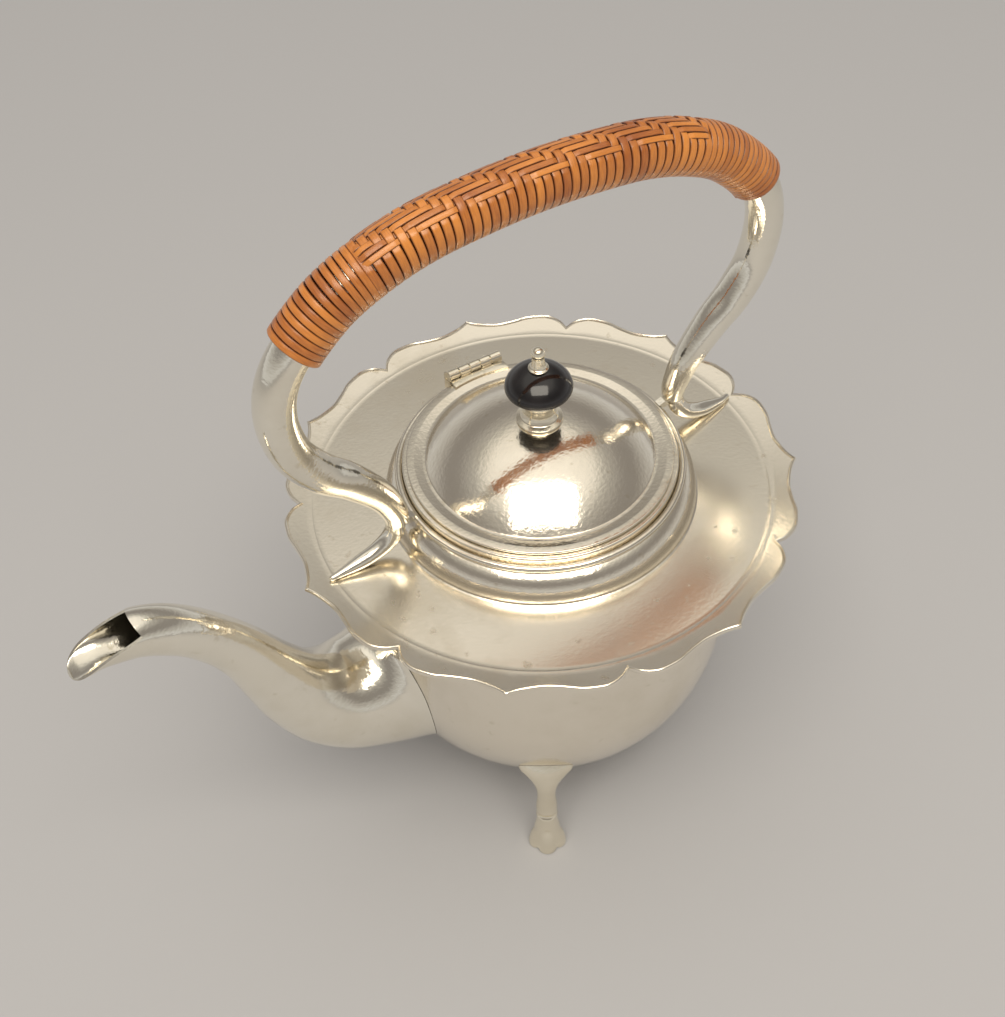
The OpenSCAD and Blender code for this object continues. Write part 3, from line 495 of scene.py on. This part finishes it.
# The lip's edge falls along this line; the tube's roof ends where the line starts and leans out from there
LIP_EDGE = [(67.5, 68.1), (71.5, 67.3), (75.3, 66.4), (79, 65.1), (82.3, 63.6), (85.2, 61.9), (87, 60.7), (88.6, 59.4)]
ROOF_LEAN = (4.2, 11)
SPOUT_WALL, BEYOND_TIP = 0.9, 95.0


def bowl_r(z):
    """Radius just outside the bowl's metal at a height."""
    if z < GLOBE_Z:
        return math.sqrt((GLOBE_R + 0.1) ** 2 - (z - GLOBE_Z) ** 2)
    return GLOBE_R + 0.1 - UPPER_R + math.sqrt(UPPER_R ** 2 - (z - GLOBE_Z) ** 2)


def spout_ring(row, wall, sides):
    """Oval ring between a top and a bottom point, drawn in by the wall, which thins towards the lip's tip."""
    top_x, top_z, low_x, low_z, wide = row
    up = np.array([top_x - low_x, top_z - low_z]) / 2
    tall = np.linalg.norm(up)
    wall = min(wall, 0.45 * tall, 0.45 * wide)
    up *= 1 - wall / tall
    mid = ((top_x + low_x) / 2, (top_z + low_z) / 2)
    return [(-GLOBE_R - mid[0] - up[0] * math.cos(w), (wide - wall) * math.sin(w),
             GLOBE_Z + mid[1] + up[1] * math.cos(w)) for w in full_turn(sides)]


def spout_mesh():
    """Hollow tube from the bowl's surface to the lip's tip."""
    steps, n = 6, 72
    path = smooth_curve(SPOUT, steps)

    def skin(wall, stop):
        rings = [spout_ring(row, wall, n) for row in path[steps:stop]]
        root = [(-math.sqrt(bowl_r(z) ** 2 - y * y), y, z) for x, y, z in rings[0]]
        return [root] + rings[2:]
    outside, inside = skin(0, len(path)), skin(SPOUT_WALL, len(path) - steps)
    verts, faces = lofted(outside, caps=False)
    more, inner_faces = lofted(inside, caps=False)
    shift = len(verts)
    verts += more
    faces += [tuple(shift + i for i in reversed(f)) for f in inner_faces]
    faces += [(k, (k + 1) % n, shift + (k + 1) % n, shift + k) for k in range(n)]
    faces.append(tuple((len(outside) - 1) * n + k for k in range(n)))
    faces.append(tuple(shift + (len(inside) - 1) * n + k for k in range(n)))
    return verts, faces


spout = made("swan_neck_spout", *spout_mesh())
edge = [tuple(p) for p in smooth_curve(LIP_EDGE, 4)]
roof_x, roof_z = edge[0][0] + ROOF_LEAN[0], edge[0][1] + ROOF_LEAN[1]
wedge = edge + [(BEYOND_TIP, edge[-1][1]), (BEYOND_TIP, roof_z), (roof_x, roof_z)]
cut(spout, made("wedge", *lofted([[(-GLOBE_R - x, y, GLOBE_Z + z) for x, z in wedge] for y in (-20, 20)])))
tidy_faces(spout, 30)
settle(spout, "kettle", SILVER, tube_silver, "spout")


# ---------------------------------------------------------------- feet

# Leg and petal: way out from the foot's line, height, radius in the plane, radius across
FOOT_REACH, FEET_TURN = 60.0, -1.3
LEG = [(-9.8, 42.8, 4.6, 8.6), (-6.1, 38.8, 3.6, 8.8), (-4.8, 36.5, 3.3, 6.7), (-3.9, 33.9, 3, 4.6),
       (-3.2, 30.5, 2.7, 3.3), (-2.8, 27, 2.6, 3), (-2.6, 23.5, 2.9, 3.3), (-2.4, 20, 3, 3.5), (-2.2, 17.2, 2.5, 3),
       (-2.2, 13.5, 2.9, 3.4), (-2.4, 9.5, 3, 4.2), (-2.6, 5.5, 2.8, 4.2), (-2.6, -1, 2.6, 3.6)]
PETAL = [(-1.4, 13.8, 1.6, 1.8), (0, 10.2, 2.2, 2.4), (1.6, 6.6, 2.7, 2.9), (3.2, 3.2, 2.8, 3.1), (4.2, 0.6, 2.4, 2.8),
         (4.6, -1.2, 2, 2.4)]
# Each petal's turn, share of the reach and share of the width
PETALS = [(0, 6 / 6.6, 1.08), (74, 6.3 / 6.6, 1), (-74, 6.3 / 6.6, 1)]
PETAL_X, ANKLE_X = FOOT_REACH - 2.6, FOOT_REACH - 2.3
ANKLE_R, ANKLE_WIRE_R, ANKLE_Z = 2.8, 0.8, 16.9
FOOT_GRID = 0.35


def turned_about(points, angle):
    c, s = math.cos(math.radians(angle)), math.sin(math.radians(angle))
    return [(x * c - y * s, x * s + y * c, z) for x, y, z in points]


def foot_mesh():
    """Cast foot at the rear: leg, ankle ring and three-petalled pad, merged into one skin."""
    leg = smooth_curve(LEG, 5)
    leg[:, 0] += FOOT_REACH
    foot = made("foot", *lofted(upright_rings(leg, 32)))
    parts = []
    for angle, reach, wide in PETALS:
        verts, faces = lofted(upright_rings(smooth_curve(PETAL, 4) * (reach, 1, 1, wide), 24))
        parts.append(([(x + PETAL_X, y, z) for x, y, z in turned_about(verts, angle)], faces))
    parts.append(lofted(wire_ring(ANKLE_R, ANKLE_Z, ANKLE_WIRE_R, 12, full_turn(48), ANKLE_X), closed=True))
    for verts, faces in parts:
        cut(foot, made("part", verts, faces), "UNION")
    remesh = foot.modifiers.new("skin", "REMESH")
    remesh.mode = "VOXEL"
    remesh.voxel_size = FOOT_GRID * MM
    soften = foot.modifiers.new("soften", "SMOOTH")
    soften.iterations = 4
    soften.factor = 0.5
    plain_mesh(foot)
    # the casting is fitted to the globe and stands flat
    near = GLOBE_R + 0.05
    globe = [(0, GLOBE_Z - near)] + arc(0, GLOBE_Z, near, -89, 0, 80) + [(0, GLOBE_Z)]
    cut(foot, made("globe", *turned(globe, 256)))
    cut(foot, made("slab", *block((40, -20, -10), (80, 20, 0))))
    return foot


first = foot_mesh()
corners = np.array([v.co for v in first.data.vertices]) / MM
polys = [tuple(p.vertices) for p in first.data.polygons]
for name, angle in (("foot_rear", 0), ("foot_left", 240), ("foot_right", 120)):
    foot = made(name + "_casting", turned_about(corners, angle + FEET_TURN), polys, sharp=45)
    settle(foot, "kettle", SILVER, cast_silver, name)
bpy.data.objects.remove(first)


# ---------------------------------------------------------------- handle

HANDLE_H, HALF_W, END_X, END_Z = 97.3, 78.37, 49.0, 126.3
# Half the arch: share of the half width, share of the height over the rim, radius of the tube
HALF = [(0, 1, 5.7), (0.21, 0.993, 5.7), (0.43, 0.972, 5.7), (0.62, 0.925, 5.7), (0.785, 0.852, 5.7),
        (0.945, 0.718, 5.7), (1, 0.58, 5.7)]
# The arm below it: share of the way from the tube's end out to the half width, then as before
ARM = [(0.93, 0.427, 5.7), (0.7, 0.308, 5.7), (0.43, 0.226, 5.3), (0.15, 0.118, 4.6), (0.02, 0.03, 4.0), (0, 0, 3.5)]
half = [(x * HALF_W, RIM_Z + z * HANDLE_H, r) for x, z, r in HALF]
half += [(END_X + x * (HALF_W - END_X), END_Z if z == 0 else RIM_Z + z * HANDLE_H, r) for x, z, r in ARM]
handle_line = smooth_curve([(-x, z, r) for x, z, r in half[:0:-1]] + half, 24)
along = np.concatenate([[0], np.cumsum(np.linalg.norm(np.diff(handle_line[:, :2], axis=0), axis=1))])
along -= along[-1] / 2
HALF_LEN = along[-1]


def handle_at(s):
    """x, z and radius of the handle at the length s from its crown."""
    return np.array([np.interp(s, along, handle_line[:, i]) for i in range(3)])


def handle_way(s):
    d = handle_at(min(s + 0.6, HALF_LEN))[:2] - handle_at(max(s - 0.6, -HALF_LEN))[:2]
    return d / np.linalg.norm(d)


def on_handle(s, turn, r):
    """Point at the distance r from the handle's line; turn 0 is the upper, outer side. Also its outward direction."""
    p, t = handle_at(s), handle_way(s)
    away = np.array([-t[1] * math.cos(turn), math.sin(turn), t[0] * math.cos(turn)])
    return np.array([p[0], 0, p[1]]) + r * away, away


lengths = np.concatenate([[-HALF_LEN], np.linspace(-HALF_LEN + 0.5, HALF_LEN - 0.5, 260), [HALF_LEN]])
tube = [[tuple(on_handle(s, w, handle_at(s)[2])[0]) for w in full_turn(56)] for s in lengths]
# the ends close with a small rounded nose
for end in (0, -1):
    centre = np.mean(tube[end], axis=0)
    noses = [[tuple(centre + (p - centre) * share - (0, 0, drop)) for p in np.array(tube[end])]
             for share, drop in ((0.93, 0.35), (0.75, 0.75), (0.4, 1.05))]
    tube = noses[::-1] + tube if end == 0 else tube + noses
settle(made("handle_tubing", *lofted(tube)), "kettle", SILVER, tube_silver, "handle_tube")

# Scroll: x, z and radius down the handle's foot and out along the flange, then its rounded tip and the rear one's bow
SCROLL_X = END_X + 0.6
SCROLL = [(SCROLL_X, 129.0, 2.7), (SCROLL_X, 126.25, 2.9), (SCROLL_X + 0.4, 122.9, 2.9), (SCROLL_X + 3, 119.4, 2.8),
          (SCROLL_X + 7.4, 117, 2.5), (SCROLL_X + 12.5, 115.65, 2.2), (68.3, 114.65, 1.25), (71.3, 114.25, 0.9)]
TIP = [(0.35, 0.92), (0.65, 0.7), (0.85, 0.4), (0.9, 0.1)]
REAR_BOW = 2.0
for name, side, bow in (("front_scroll", -1, 0), ("rear_scroll", 1, REAR_BOW)):
    line = smooth_curve([(x, z, r, r) for x, z, r in SCROLL], 10)
    (x, z, r, _), way = line[-1], headings(line)[-1]
    tip = [(x + way[0] * d, z + way[1] * d, r * share, r * share) for d, share in TIP]
    rings = upright_rings(np.vstack([line, tip]), 32, np.vstack([headings(line), [way] * len(tip)]))
    sway = [bow * math.sin(math.pi * min(1, max(0, (i - 10) / (len(rings) - 15)))) for i in range(len(rings))]
    rings = [[(side * x, y - out, z) for x, y, z in ring] for ring, out in zip(rings, sway)]
    settle(made(name + "_wire", *lofted(rings)), "kettle", SILVER, tube_silver, name)


# ---------------------------------------------------------------- cane binding

def strip_tree(material):
    """Tree that runs a flat, round-edged strip along each line, facing the line's outward direction."""
    tree = bpy.data.node_groups.new("cane strip", "GeometryNodeTree")
    face = tree.interface
    face.new_socket("Geometry", in_out="INPUT", socket_type="NodeSocketGeometry")
    for label, value in (("Strip Width", 0.0022), ("Strip Thickness", 0.001), ("Edge Radius", 0.0004)):
        socket = face.new_socket(label, in_out="INPUT", socket_type="NodeSocketFloat")
        socket.default_value = value
    face.new_socket("Geometry", in_out="OUTPUT", socket_type="NodeSocketGeometry")
    gin, gout = tree.nodes.new("NodeGroupInput"), tree.nodes.new("NodeGroupOutput")
    link = tree.links.new
    line = node(tree, "GeometryNodeMeshToCurve")
    link(gin.outputs["Geometry"], line.inputs["Mesh"])
    outward = node(tree, "GeometryNodeInputNamedAttribute", data_type="FLOAT_VECTOR")
    outward.inputs["Name"].default_value = "outward"
    facing = node(tree, "GeometryNodeSetCurveNormal", mode="FREE")
    link(line.outputs["Curve"], facing.inputs["Curve"])
    link(outward.outputs["Attribute"], facing.inputs["Normal"])
    section = node(tree, "GeometryNodeCurvePrimitiveQuadrilateral")
    link(gin.outputs["Strip Thickness"], section.inputs["Width"])
    link(gin.outputs["Strip Width"], section.inputs["Height"])
    rounded = node(tree, "GeometryNodeFilletCurve", mode="POLY")
    rounded.inputs["Count"].default_value = 3
    rounded.inputs["Limit Radius"].default_value = True
    link(section.outputs["Curve"], rounded.inputs["Curve"])
    link(gin.outputs["Edge Radius"], rounded.inputs["Radius"])
    spot = node(tree, "GeometryNodeInputPosition")
    parts = node(tree, "ShaderNodeSeparateXYZ")
    link(spot.outputs[0], parts.inputs[0])
    share = node(tree, "ShaderNodeMath", operation="DIVIDE")
    link(parts.outputs["Y"], share.inputs[0])
    link(gin.outputs["Strip Width"], share.inputs[1])
    centred = node(tree, "ShaderNodeMath", operation="ADD")
    link(share.outputs[0], centred.inputs[0])
    centred.inputs[1].default_value = 0.5
    keep = node(tree, "GeometryNodeStoreNamedAttribute", data_type="FLOAT", domain="POINT")
    keep.inputs["Name"].default_value = "strip side"
    link(rounded.outputs["Curve"], keep.inputs["Geometry"])
    link(centred.outputs[0], keep.inputs["Value"])
    swept = node(tree, "GeometryNodeCurveToMesh")
    swept.inputs["Fill Caps"].default_value = True
    link(facing.outputs["Curve"], swept.inputs["Curve"])
    link(keep.outputs["Geometry"], swept.inputs["Profile Curve"])
    real = node(tree, "GeometryNodeRealizeInstances")
    link(swept.outputs["Mesh"], real.inputs["Geometry"])
    finish = node(tree, "GeometryNodeSetMaterial")
    finish.inputs["Material"].default_value = material
    link(real.outputs["Geometry"], finish.inputs["Geometry"])
    link(finish.outputs["Geometry"], gout.inputs["Geometry"])
    return tree


def strips(name, lines, width, thickness, edge=0.42):
    """Strips of cane along lines of (point, outward direction), each line with a tone of its own."""
    mesh = bpy.data.meshes.new(name)
    verts, edges, away, run, tone = [], [], [], [], []
    for i, line in enumerate(lines):
        start, gone = len(verts), 0.0
        for k, (p, n) in enumerate(line):
            if k:
                gone += float(np.linalg.norm(np.array(p) - verts[-1]))
                edges.append((len(verts) - 1, len(verts)))
            verts.append(np.array(p))
            away.append(n)
            run.append(gone * 0.35 + i * 11.3)
            tone.append(TONES.random() if k == 0 else tone[-1])
    mesh.from_pydata([tuple(v * MM) for v in verts], edges, [])
    for label, kind, key, values in (("outward", "FLOAT_VECTOR", "vector", np.array(away).ravel()),
                                     ("strip run", "FLOAT", "value", run), ("strip tone", "FLOAT", "value", tone)):
        mesh.attributes.new(label, kind, "POINT").data.foreach_set(key, values)
    obj = bpy.data.objects.new(name, mesh)
    bpy.context.scene.collection.objects.link(obj)
    mod = obj.modifiers.new("strip", "NODES")
    mod.node_group = STRIP_TREE
    sizes = {"Strip Width": width * MM, "Strip Thickness": thickness * MM, "Edge Radius": edge * MM}
    for item in STRIP_TREE.interface.items_tree:
        if item.in_out == "INPUT" and item.name in sizes:
            mod[item.identifier] = sizes[item.name]
    plain_mesh(obj)
    tidy_faces(obj, 40)
    return obj


def merged(name, pieces):
    """One object from several."""
    work = bmesh.new()
    for piece in pieces:
        work.from_mesh(piece.data)
    mesh = bpy.data.meshes.new(name)
    work.to_mesh(mesh)
    work.free()
    obj = bpy.data.objects.new(name, mesh)
    bpy.context.scene.collection.objects.link(obj)
    for piece in pieces:
        bpy.data.objects.remove(piece)
    return obj


TONES = np.random.default_rng(7)
STRIP_TREE = strip_tree(cane)
CANE_R, STRIP_T = 7.95, 1.05
FRONT, REAR, FRONT_LEN, REAR_LEN = -77.0, 82.0, 28.0, 32.0
PLAIN_PITCH, PLAIN_W = 2.15, 2.05


def plain_turns(s0, s1):
    """One helix from s0 to s1, drawn as a line for each turn so that every turn has its own tone."""
    count = round((s1 - s0) / PLAIN_PITCH)
    lines = []
    for turn in range(count):
        line = []
        for k in range(41):
            u = turn + 0.006 + 0.988 * k / 40
            s = s0 + (s1 - s0) * (0.5 + u) / (count + 1)
            line.append(on_handle(s, 2 * math.pi * u + math.pi, CANE_R - STRIP_T / 2))
        lines.append(line)
    return lines


front_turns = strips("front_cane_turns", plain_turns(FRONT, FRONT + FRONT_LEN), PLAIN_W, STRIP_T)
settle(front_turns, "kettle", CANE, cane, "cane_front_turns")
rear_turns = strips("rear_cane_turns", plain_turns(REAR - REAR_LEN, REAR), PLAIN_W, STRIP_T)
settle(rear_turns, "kettle", CANE, cane, "cane_rear_turns")

# the woven middle: lanes along the top, each over four turns and under two; it laps a little under the plain turns
LANES, LANE_W, LANE_T, OVER, CYCLE, LAP = 7, 1.84, 0.75, 4, 6, 1.3
W0, W1 = FRONT + FRONT_LEN - LAP, REAR - REAR_LEN + LAP
TURN_COUNT = round((W1 - W0) / 2.62)
TURN_PITCH = (W1 - W0) / TURN_COUNT
LANE_R = CANE_R - 0.1
LANE_STEP = LANE_W * 1.02 / LANE_R
LANE_LOW, LANE_LIFT, TURN_DIP, TURN_LIFT = 0.95, 0.72, -0.55, 0.12


def lane_over(lane, turn):
    """1 where the lane lies over that turn, 0 where it passes under."""
    return 1.0 if (turn + lane) % CYCLE < OVER else 0.0


def evened(values, reach):
    """Running mean over so many neighbours on each side."""
    count = 2 * reach + 1
    return np.convolve(np.pad(values, reach, mode="edge"), np.ones(count) / count, mode="valid")


def woven_turns():
    """A line for each turn of the middle, pressed in under the lanes that lie over it."""
    lines = []
    for turn in range(TURN_COUNT):
        line, radius = [], []
        for k in range(97):
            u = k / 96
            w = 2 * math.pi * u + math.pi
            lane = ((w + math.pi) % (2 * math.pi) - math.pi) / LANE_STEP + (LANES - 1) / 2
            lift = 0.0
            if -0.5 <= lane <= LANES - 0.5:
                lift = TURN_DIP if lane_over(min(max(round(lane), 0), LANES - 1), turn) else TURN_LIFT
            line.append((W0 + (turn + 0.5 + (u - 0.5) * 0.9) * TURN_PITCH, w))
            radius.append(CANE_R - STRIP_T / 2 + lift)
        lines.append([on_handle(s, w, r) for (s, w), r in zip(line, evened(radius, 2))])
    return lines


def lanes():
    """A line for each lane along the top, raised where it lies over the turns."""
    lines, steps = [], 8
    count = TURN_COUNT * steps
    for lane in range(LANES):
        high = np.array([lane_over(lane, i // steps) for i in range(count)])
        high[:steps // 2], high[-steps // 2:] = 0, 0
        angle = (lane - (LANES - 1) / 2) * LANE_STEP
        lines.append([on_handle(W0 + (W1 - W0) * (i + 0.5) / count, angle, LANE_R - LANE_LOW + LANE_LIFT * up)
                      for i, up in enumerate(evened(high, 3))])
    return lines


turns = strips("turns", woven_turns(), TURN_PITCH - 0.12, STRIP_T)
lengthwise = strips("lengthwise", lanes(), LANE_W - 0.1, LANE_T, 0.3)
grip = merged("woven_cane_grip", [turns, lengthwise])
tidy_faces(grip, 40)
settle(grip, "kettle", CANE, cane, "cane_woven_grip")


# ---------------------------------------------------------------- lid

DOME_H, DOME_FOOT_R, BRIM_R = 14.2, 34.2, 38.2
BEZEL = [(36.8, 122.7), (37.3, 122.7), (37.6, 123.2), (37.6, 126.9), (36.8, 126.75)]


def lid_outline():
    """Section of the lid's sheet: dome, small step and flat brim, with the same wall all along."""
    dome_r = (DOME_FOOT_R ** 2 + DOME_H ** 2) / (2 * DOME_H)
    c = RIM_Z + DOME_H - dome_r
    low = RIM_Z - 0.5
    out_x = math.sqrt(dome_r ** 2 - (low - c) ** 2)
    in_x = math.sqrt((dome_r - LID_T) ** 2 - (low - LID_T - c) ** 2)
    first, last = math.degrees(math.acos(1.25 / dome_r)), math.degrees(math.acos(out_x / dome_r))
    dome = arc(0, c, dome_r, first, last, 48)
    under = arc(0, c, dome_r - LID_T, math.degrees(math.acos(in_x / (dome_r - LID_T))), first, 40)
    brim = softened([dome[-2], (out_x, low, 0.5), (out_x + 0.9, low, 1.2), (BRIM_R, RIM_Z, 1.5), (LID_R, RIM_Z, 0.35),
                     (LID_R, RIM_Z - LID_T, 0.3), (BRIM_R, RIM_Z - LID_T), (out_x + 0.9, low - LID_T), under[0]])
    return dome[:-2] + brim[:-1] + under


settle(made("domed_lid", *turned(lid_outline(), 192)), "lid", SILVER, lid_silver, "lid_dome")
settle(made("lid_bezel_ring", *turned(BEZEL, 160)), "lid", SILVER, inside_silver, "lid_bezel")


# ---------------------------------------------------------------- finial

BORE_R, KNOB_FOOT, SKIRT_Z = 1.3, KNOB_Z + 4.6, KNOB_Z + 14.2
# Knob and skirt: radius and height over the knob's and the skirt's own base
KNOB_LINE = [(3.9, 4.65), (6.4, 4.9), (8.7, 5.6), (9.8, 6.6), (10.03, 7.8), (9.5, 9.4), (8.0, 11.3), (5.8, 12.9),
             (3.4, 13.9), (BORE_R, 14.2)]
SKIRT_LINE = [(2.7, 0.1), (3.0, 0.45), (2.2, 1.0), (1.95, 2.3), (1.75, 4.1)]
BALL_Z, BALL_R, BOLT_R, BOLT_FOOT, COLLAR_R, COLLAR_Z = SKIRT_Z + 5.6, 2.05, 1.2, 137.0, 1.65, SKIRT_Z + 4.15

# a wide base plate, a waist and a rounded neck that carries the knob's flat underside
ferrule = softened([(BORE_R, 141.9), (5.2, 141.55), (7.0, 141.75, 0.2), (7.0, 142.6, 0.3), (5.5, 143.3, 1.0),
                    (4.4, 145.2, 3.0), (4.9, 148.2, 3.0), (4.2, KNOB_FOOT, 0.6), (BORE_R, KNOB_FOOT)], 5)
settle(made("finial_ferrule_turning", *turned(ferrule, 96)), "lid", SILVER, cast_silver, "finial_ferrule")

knob = [(BORE_R, KNOB_Z + KNOB_LINE[0][1])] + [(r, KNOB_Z + z) for r, z in smooth_curve(KNOB_LINE, 8)]
settle(made("finial_knob_turning", *turned(knob, 128)), "lid", KNOB, black, "finial_knob")

skirt = [(r, SKIRT_Z + z) for r, z in smooth_curve(SKIRT_LINE, 6)]
skirt = [(BOLT_R + 0.05, skirt[0][1])] + skirt + [(BOLT_R + 0.05, skirt[-1][1])]
settle(made("finial_skirt_turning", *turned(skirt, 64)), "lid", SILVER, cast_silver, "finial_skirt")

bolt = [(0, BOLT_FOOT), (BOLT_R, BOLT_FOOT), (BOLT_R, COLLAR_Z), (COLLAR_R, COLLAR_Z), (COLLAR_R, BALL_Z - 1.3)]
bolt += arc(0, BALL_Z, BALL_R, -38, 90, 20)
settle(made("finial_bolt_turning", *turned(bolt, 64)), "lid", SILVER, cast_silver, "finial_bolt")


# ---------------------------------------------------------------- hinge and small fittings

def bevelled(obj, width=0.12):
    """Small rounded edges on a plain metal piece."""
    tidy_faces(obj, 30, 1e-6)
    mod = obj.modifiers.new("edge", "BEVEL")
    mod.width = width * MM
    mod.segments = 2
    mod.limit_method = "ANGLE"
    mod.angle_limit = math.radians(40)
    plain_mesh(obj)
    tidy_faces(obj, 30, 1e-8)
    return obj


KNUCKLES, KNUCKLE_GAP, PIN_R, PIN_CLEAR = 5, 0.15, 0.8, 0.05
PITCH = HINGE_LEN / KNUCKLES
HINGE_X0, HINGE_X1 = HINGE_SHIFT - HINGE_LEN / 2, HINGE_SHIFT + HINGE_LEN / 2
# The body's leaf stands behind the barrel and steps in under it; the lid's lies on the brim
LEAF_Y, LEAF_T, LEAF_FOOT, STEP_Y, STEP_FOOT = HINGE_Y + BARREL_R + 0.15, 0.7, 116.5, 41.0, 118.5
FLAP_LEN, FLAP_Z0, FLAP_Z1 = 6.0, RIM_Z + 0.05, RIM_Z + 0.75


def rod(x0, x1, r, bore=0.0, sides=40):
    """Round rod on the hinge's axis with eased ends, or a barrel when it has a bore."""
    ease = 0.18 if bore else 0.1
    rows = [(x0, r - ease), (x0 + ease, r), (x1 - ease, r), (x1, r - ease)]
    rows += [(x1, bore), (x0, bore)] if bore else []
    rings = [[(x, HINGE_Y + q * math.cos(a), HINGE_Z + q * math.sin(a)) for a in full_turn(sides)] for x, q in rows]
    return lofted(rings, closed=bool(bore))


def span(i):
    """Both ends of a knuckle; neighbours stand a small gap apart."""
    start, end = HINGE_X0 + i * PITCH, HINGE_X0 + (i + 1) * PITCH
    return start + (0 if i == 0 else KNUCKLE_GAP / 2), end - (0 if i == KNUCKLES - 1 else KNUCKLE_GAP / 2)


def joined_webs(plate, knuckles, low, high):
    """Joins a web for each knuckle to a leaf; low and high are the web's corners in y and z."""
    for i in knuckles:
        a, b = span(i)
        web = made("web", *block((a, *low), (b, *high)))
        cut(web, made("round", *rod(a - 1, b + 1, BARREL_R - 0.3)))
        cut(plate, web, "UNION")


def with_barrels(name, plate, knuckles, bore):
    """Bevelled leaf and its knuckles in one object."""
    barrels = [made("barrel", *rod(*span(i), BARREL_R, bore)) for i in knuckles]
    whole = merged(name, [bevelled(plate)] + barrels)
    tidy_faces(whole, 30)
    return whole


def round_tool(r, z0, z1):
    return made("tool", *lofted([[(r * math.cos(a), r * math.sin(a), z) for a in full_turn(256)] for z in (z0, z1)]))


leaf = made("leaf", *block((HINGE_X0, LEAF_Y, LEAF_FOOT), (HINGE_X1, LEAF_Y + LEAF_T, HINGE_Z - 0.1)))
step = block((HINGE_X0, STEP_Y, STEP_FOOT), (HINGE_X1, LEAF_Y + LEAF_T / 2, HINGE_Z - BARREL_R - 0.25))
cut(leaf, made("step", *step), "UNION")
joined_webs(leaf, (0, 2, 4), (HINGE_Y + 1.0, HINGE_Z - BARREL_R), (LEAF_Y + LEAF_T / 2, HINGE_Z))
cut(leaf, round_tool(SEAT_OUT_R + 0.05, 114, 135))
shoulder = [(0, 110), (NECK_FOOT_R + 0.05, 110)] + arc(NECK_X, NECK_Z, NECK_R + 0.05, 0, 71.9, 30) + [(0, 123.05)]
cut(leaf, made("tool", *turned(shoulder, 256)))
leaf = with_barrels("body_hinge_plate", leaf, (0, 2, 4), PIN_R)
settle(leaf, "kettle", SILVER, cast_silver, "body_hinge_leaf")
settle(made("hinge_pin_rod", *rod(HINGE_X0, HINGE_X1, PIN_R)), "kettle", SILVER, cast_silver, "hinge_pin")

flap_y = HINGE_Y - BARREL_R
flap = made("flap", *block((HINGE_X0, flap_y - FLAP_LEN, FLAP_Z0), (HINGE_X1, flap_y - 0.3, FLAP_Z1)))
joined_webs(flap, (1, 3), (flap_y - 0.6, FLAP_Z0), (HINGE_Y, FLAP_Z1))
cut(flap, round_tool(BRIM_R + 0.1, 127, 135))
flap = with_barrels("lid_hinge_plate", flap, (1, 3), PIN_R + PIN_CLEAR)
settle(flap, "lid", SILVER, cast_silver, "lid_hinge_leaf")

for name, material in (("front_strut", tube_silver), ("rear_strut", tube_silver), ("lid_washer", inside_silver),
                       ("lid_nut", inside_silver)):
    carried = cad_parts[name]
    carried.data.materials.clear()
    carried.data.materials.append(material)


# ---------------------------------------------------------------- floor, light and camera

def floor_material():
    material = bpy.data.materials.new("pale floor")
    material.use_nodes = True
    shader = material.node_tree.nodes["Principled BSDF"]
    shader.inputs["Base Color"].default_value = (0.5, 0.5, 0.52, 1)
    shader.inputs["Roughness"].default_value = 0.9
    return material


FLOOR_HALF, FLOOR_Z = 3000, -0.3
floor_corners = [(x * FLOOR_HALF, y * FLOOR_HALF, FLOOR_Z) for x, y in ((-1, -1), (1, -1), (1, 1), (-1, 1))]
floor = made("floor", floor_corners, [(0, 1, 2, 3)])
floor.data.materials.append(floor_material())


def aim(obj, target):
    """Rotation that points an object's front at the target."""
    return (Vector(target) - obj.location).to_track_quat("-Z", "Y")


light = bpy.data.lights.new("soft warm lamp", "AREA")
light.shape = "RECTANGLE"
light.size, light.size_y = 1.3, 0.8
light.energy = 13
light.color = (1.0, 0.93, 0.8)
lamp = bpy.data.objects.new("soft warm lamp", light)
lamp.location = (-0.32, -0.62, 1.45)
lamp.rotation_euler = aim(lamp, (0, 0, 0.1)).to_euler()
bpy.context.scene.collection.objects.link(lamp)

# the room's tone by height, from level to straight up: pale walls, a dim band and a bright ceiling
ROOM = [(0.0, (0.62, 0.61, 0.59)), (0.2, (0.45, 0.43, 0.4)), (0.36, (0.27, 0.25, 0.23)), (0.52, (0.28, 0.26, 0.24)),
        (0.7, (0.45, 0.43, 0.39)), (0.82, (0.92, 0.87, 0.78)), (1.0, (1.1, 1.04, 0.94))]
world = bpy.data.worlds.new("studio")
bpy.context.scene.world = world
world.use_nodes = True
room = world.node_tree
height = node(room, "ShaderNodeSeparateXYZ")
room.links.new(node(room, "ShaderNodeTexCoord").outputs["Generated"], height.inputs[0])
tones = node(room, "ShaderNodeValToRGB")
stops = tones.color_ramp.elements
for place, tone in ROOM:
    stop = stops[0] if place == 0 else stops[-1] if place == 1 else stops.new(place)
    stop.color = (*tone, 1)
room.links.new(height.outputs["Z"], tones.inputs["Fac"])
room.links.new(tones.outputs["Color"], room.nodes["Background"].inputs["Color"])
room.nodes["Background"].inputs["Strength"].default_value = 1.0
bpy.context.scene.view_settings.view_transform = "Standard"

camera = bpy.data.cameras.new("camera")
camera.lens = 50.45
camera.shift_x, camera.shift_y = -0.0371, -0.0569
eye = bpy.data.objects.new("camera", camera)
eye.location = (-0.1548, -0.2590, 0.4348)
roll = Matrix.Rotation(math.radians(-1.26), 3, "Z")
eye.rotation_euler = (aim(eye, (0, 0, 0.128)).to_matrix() @ roll).to_euler()
bpy.context.scene.collection.objects.link(eye)
bpy.context.scene.camera = eye
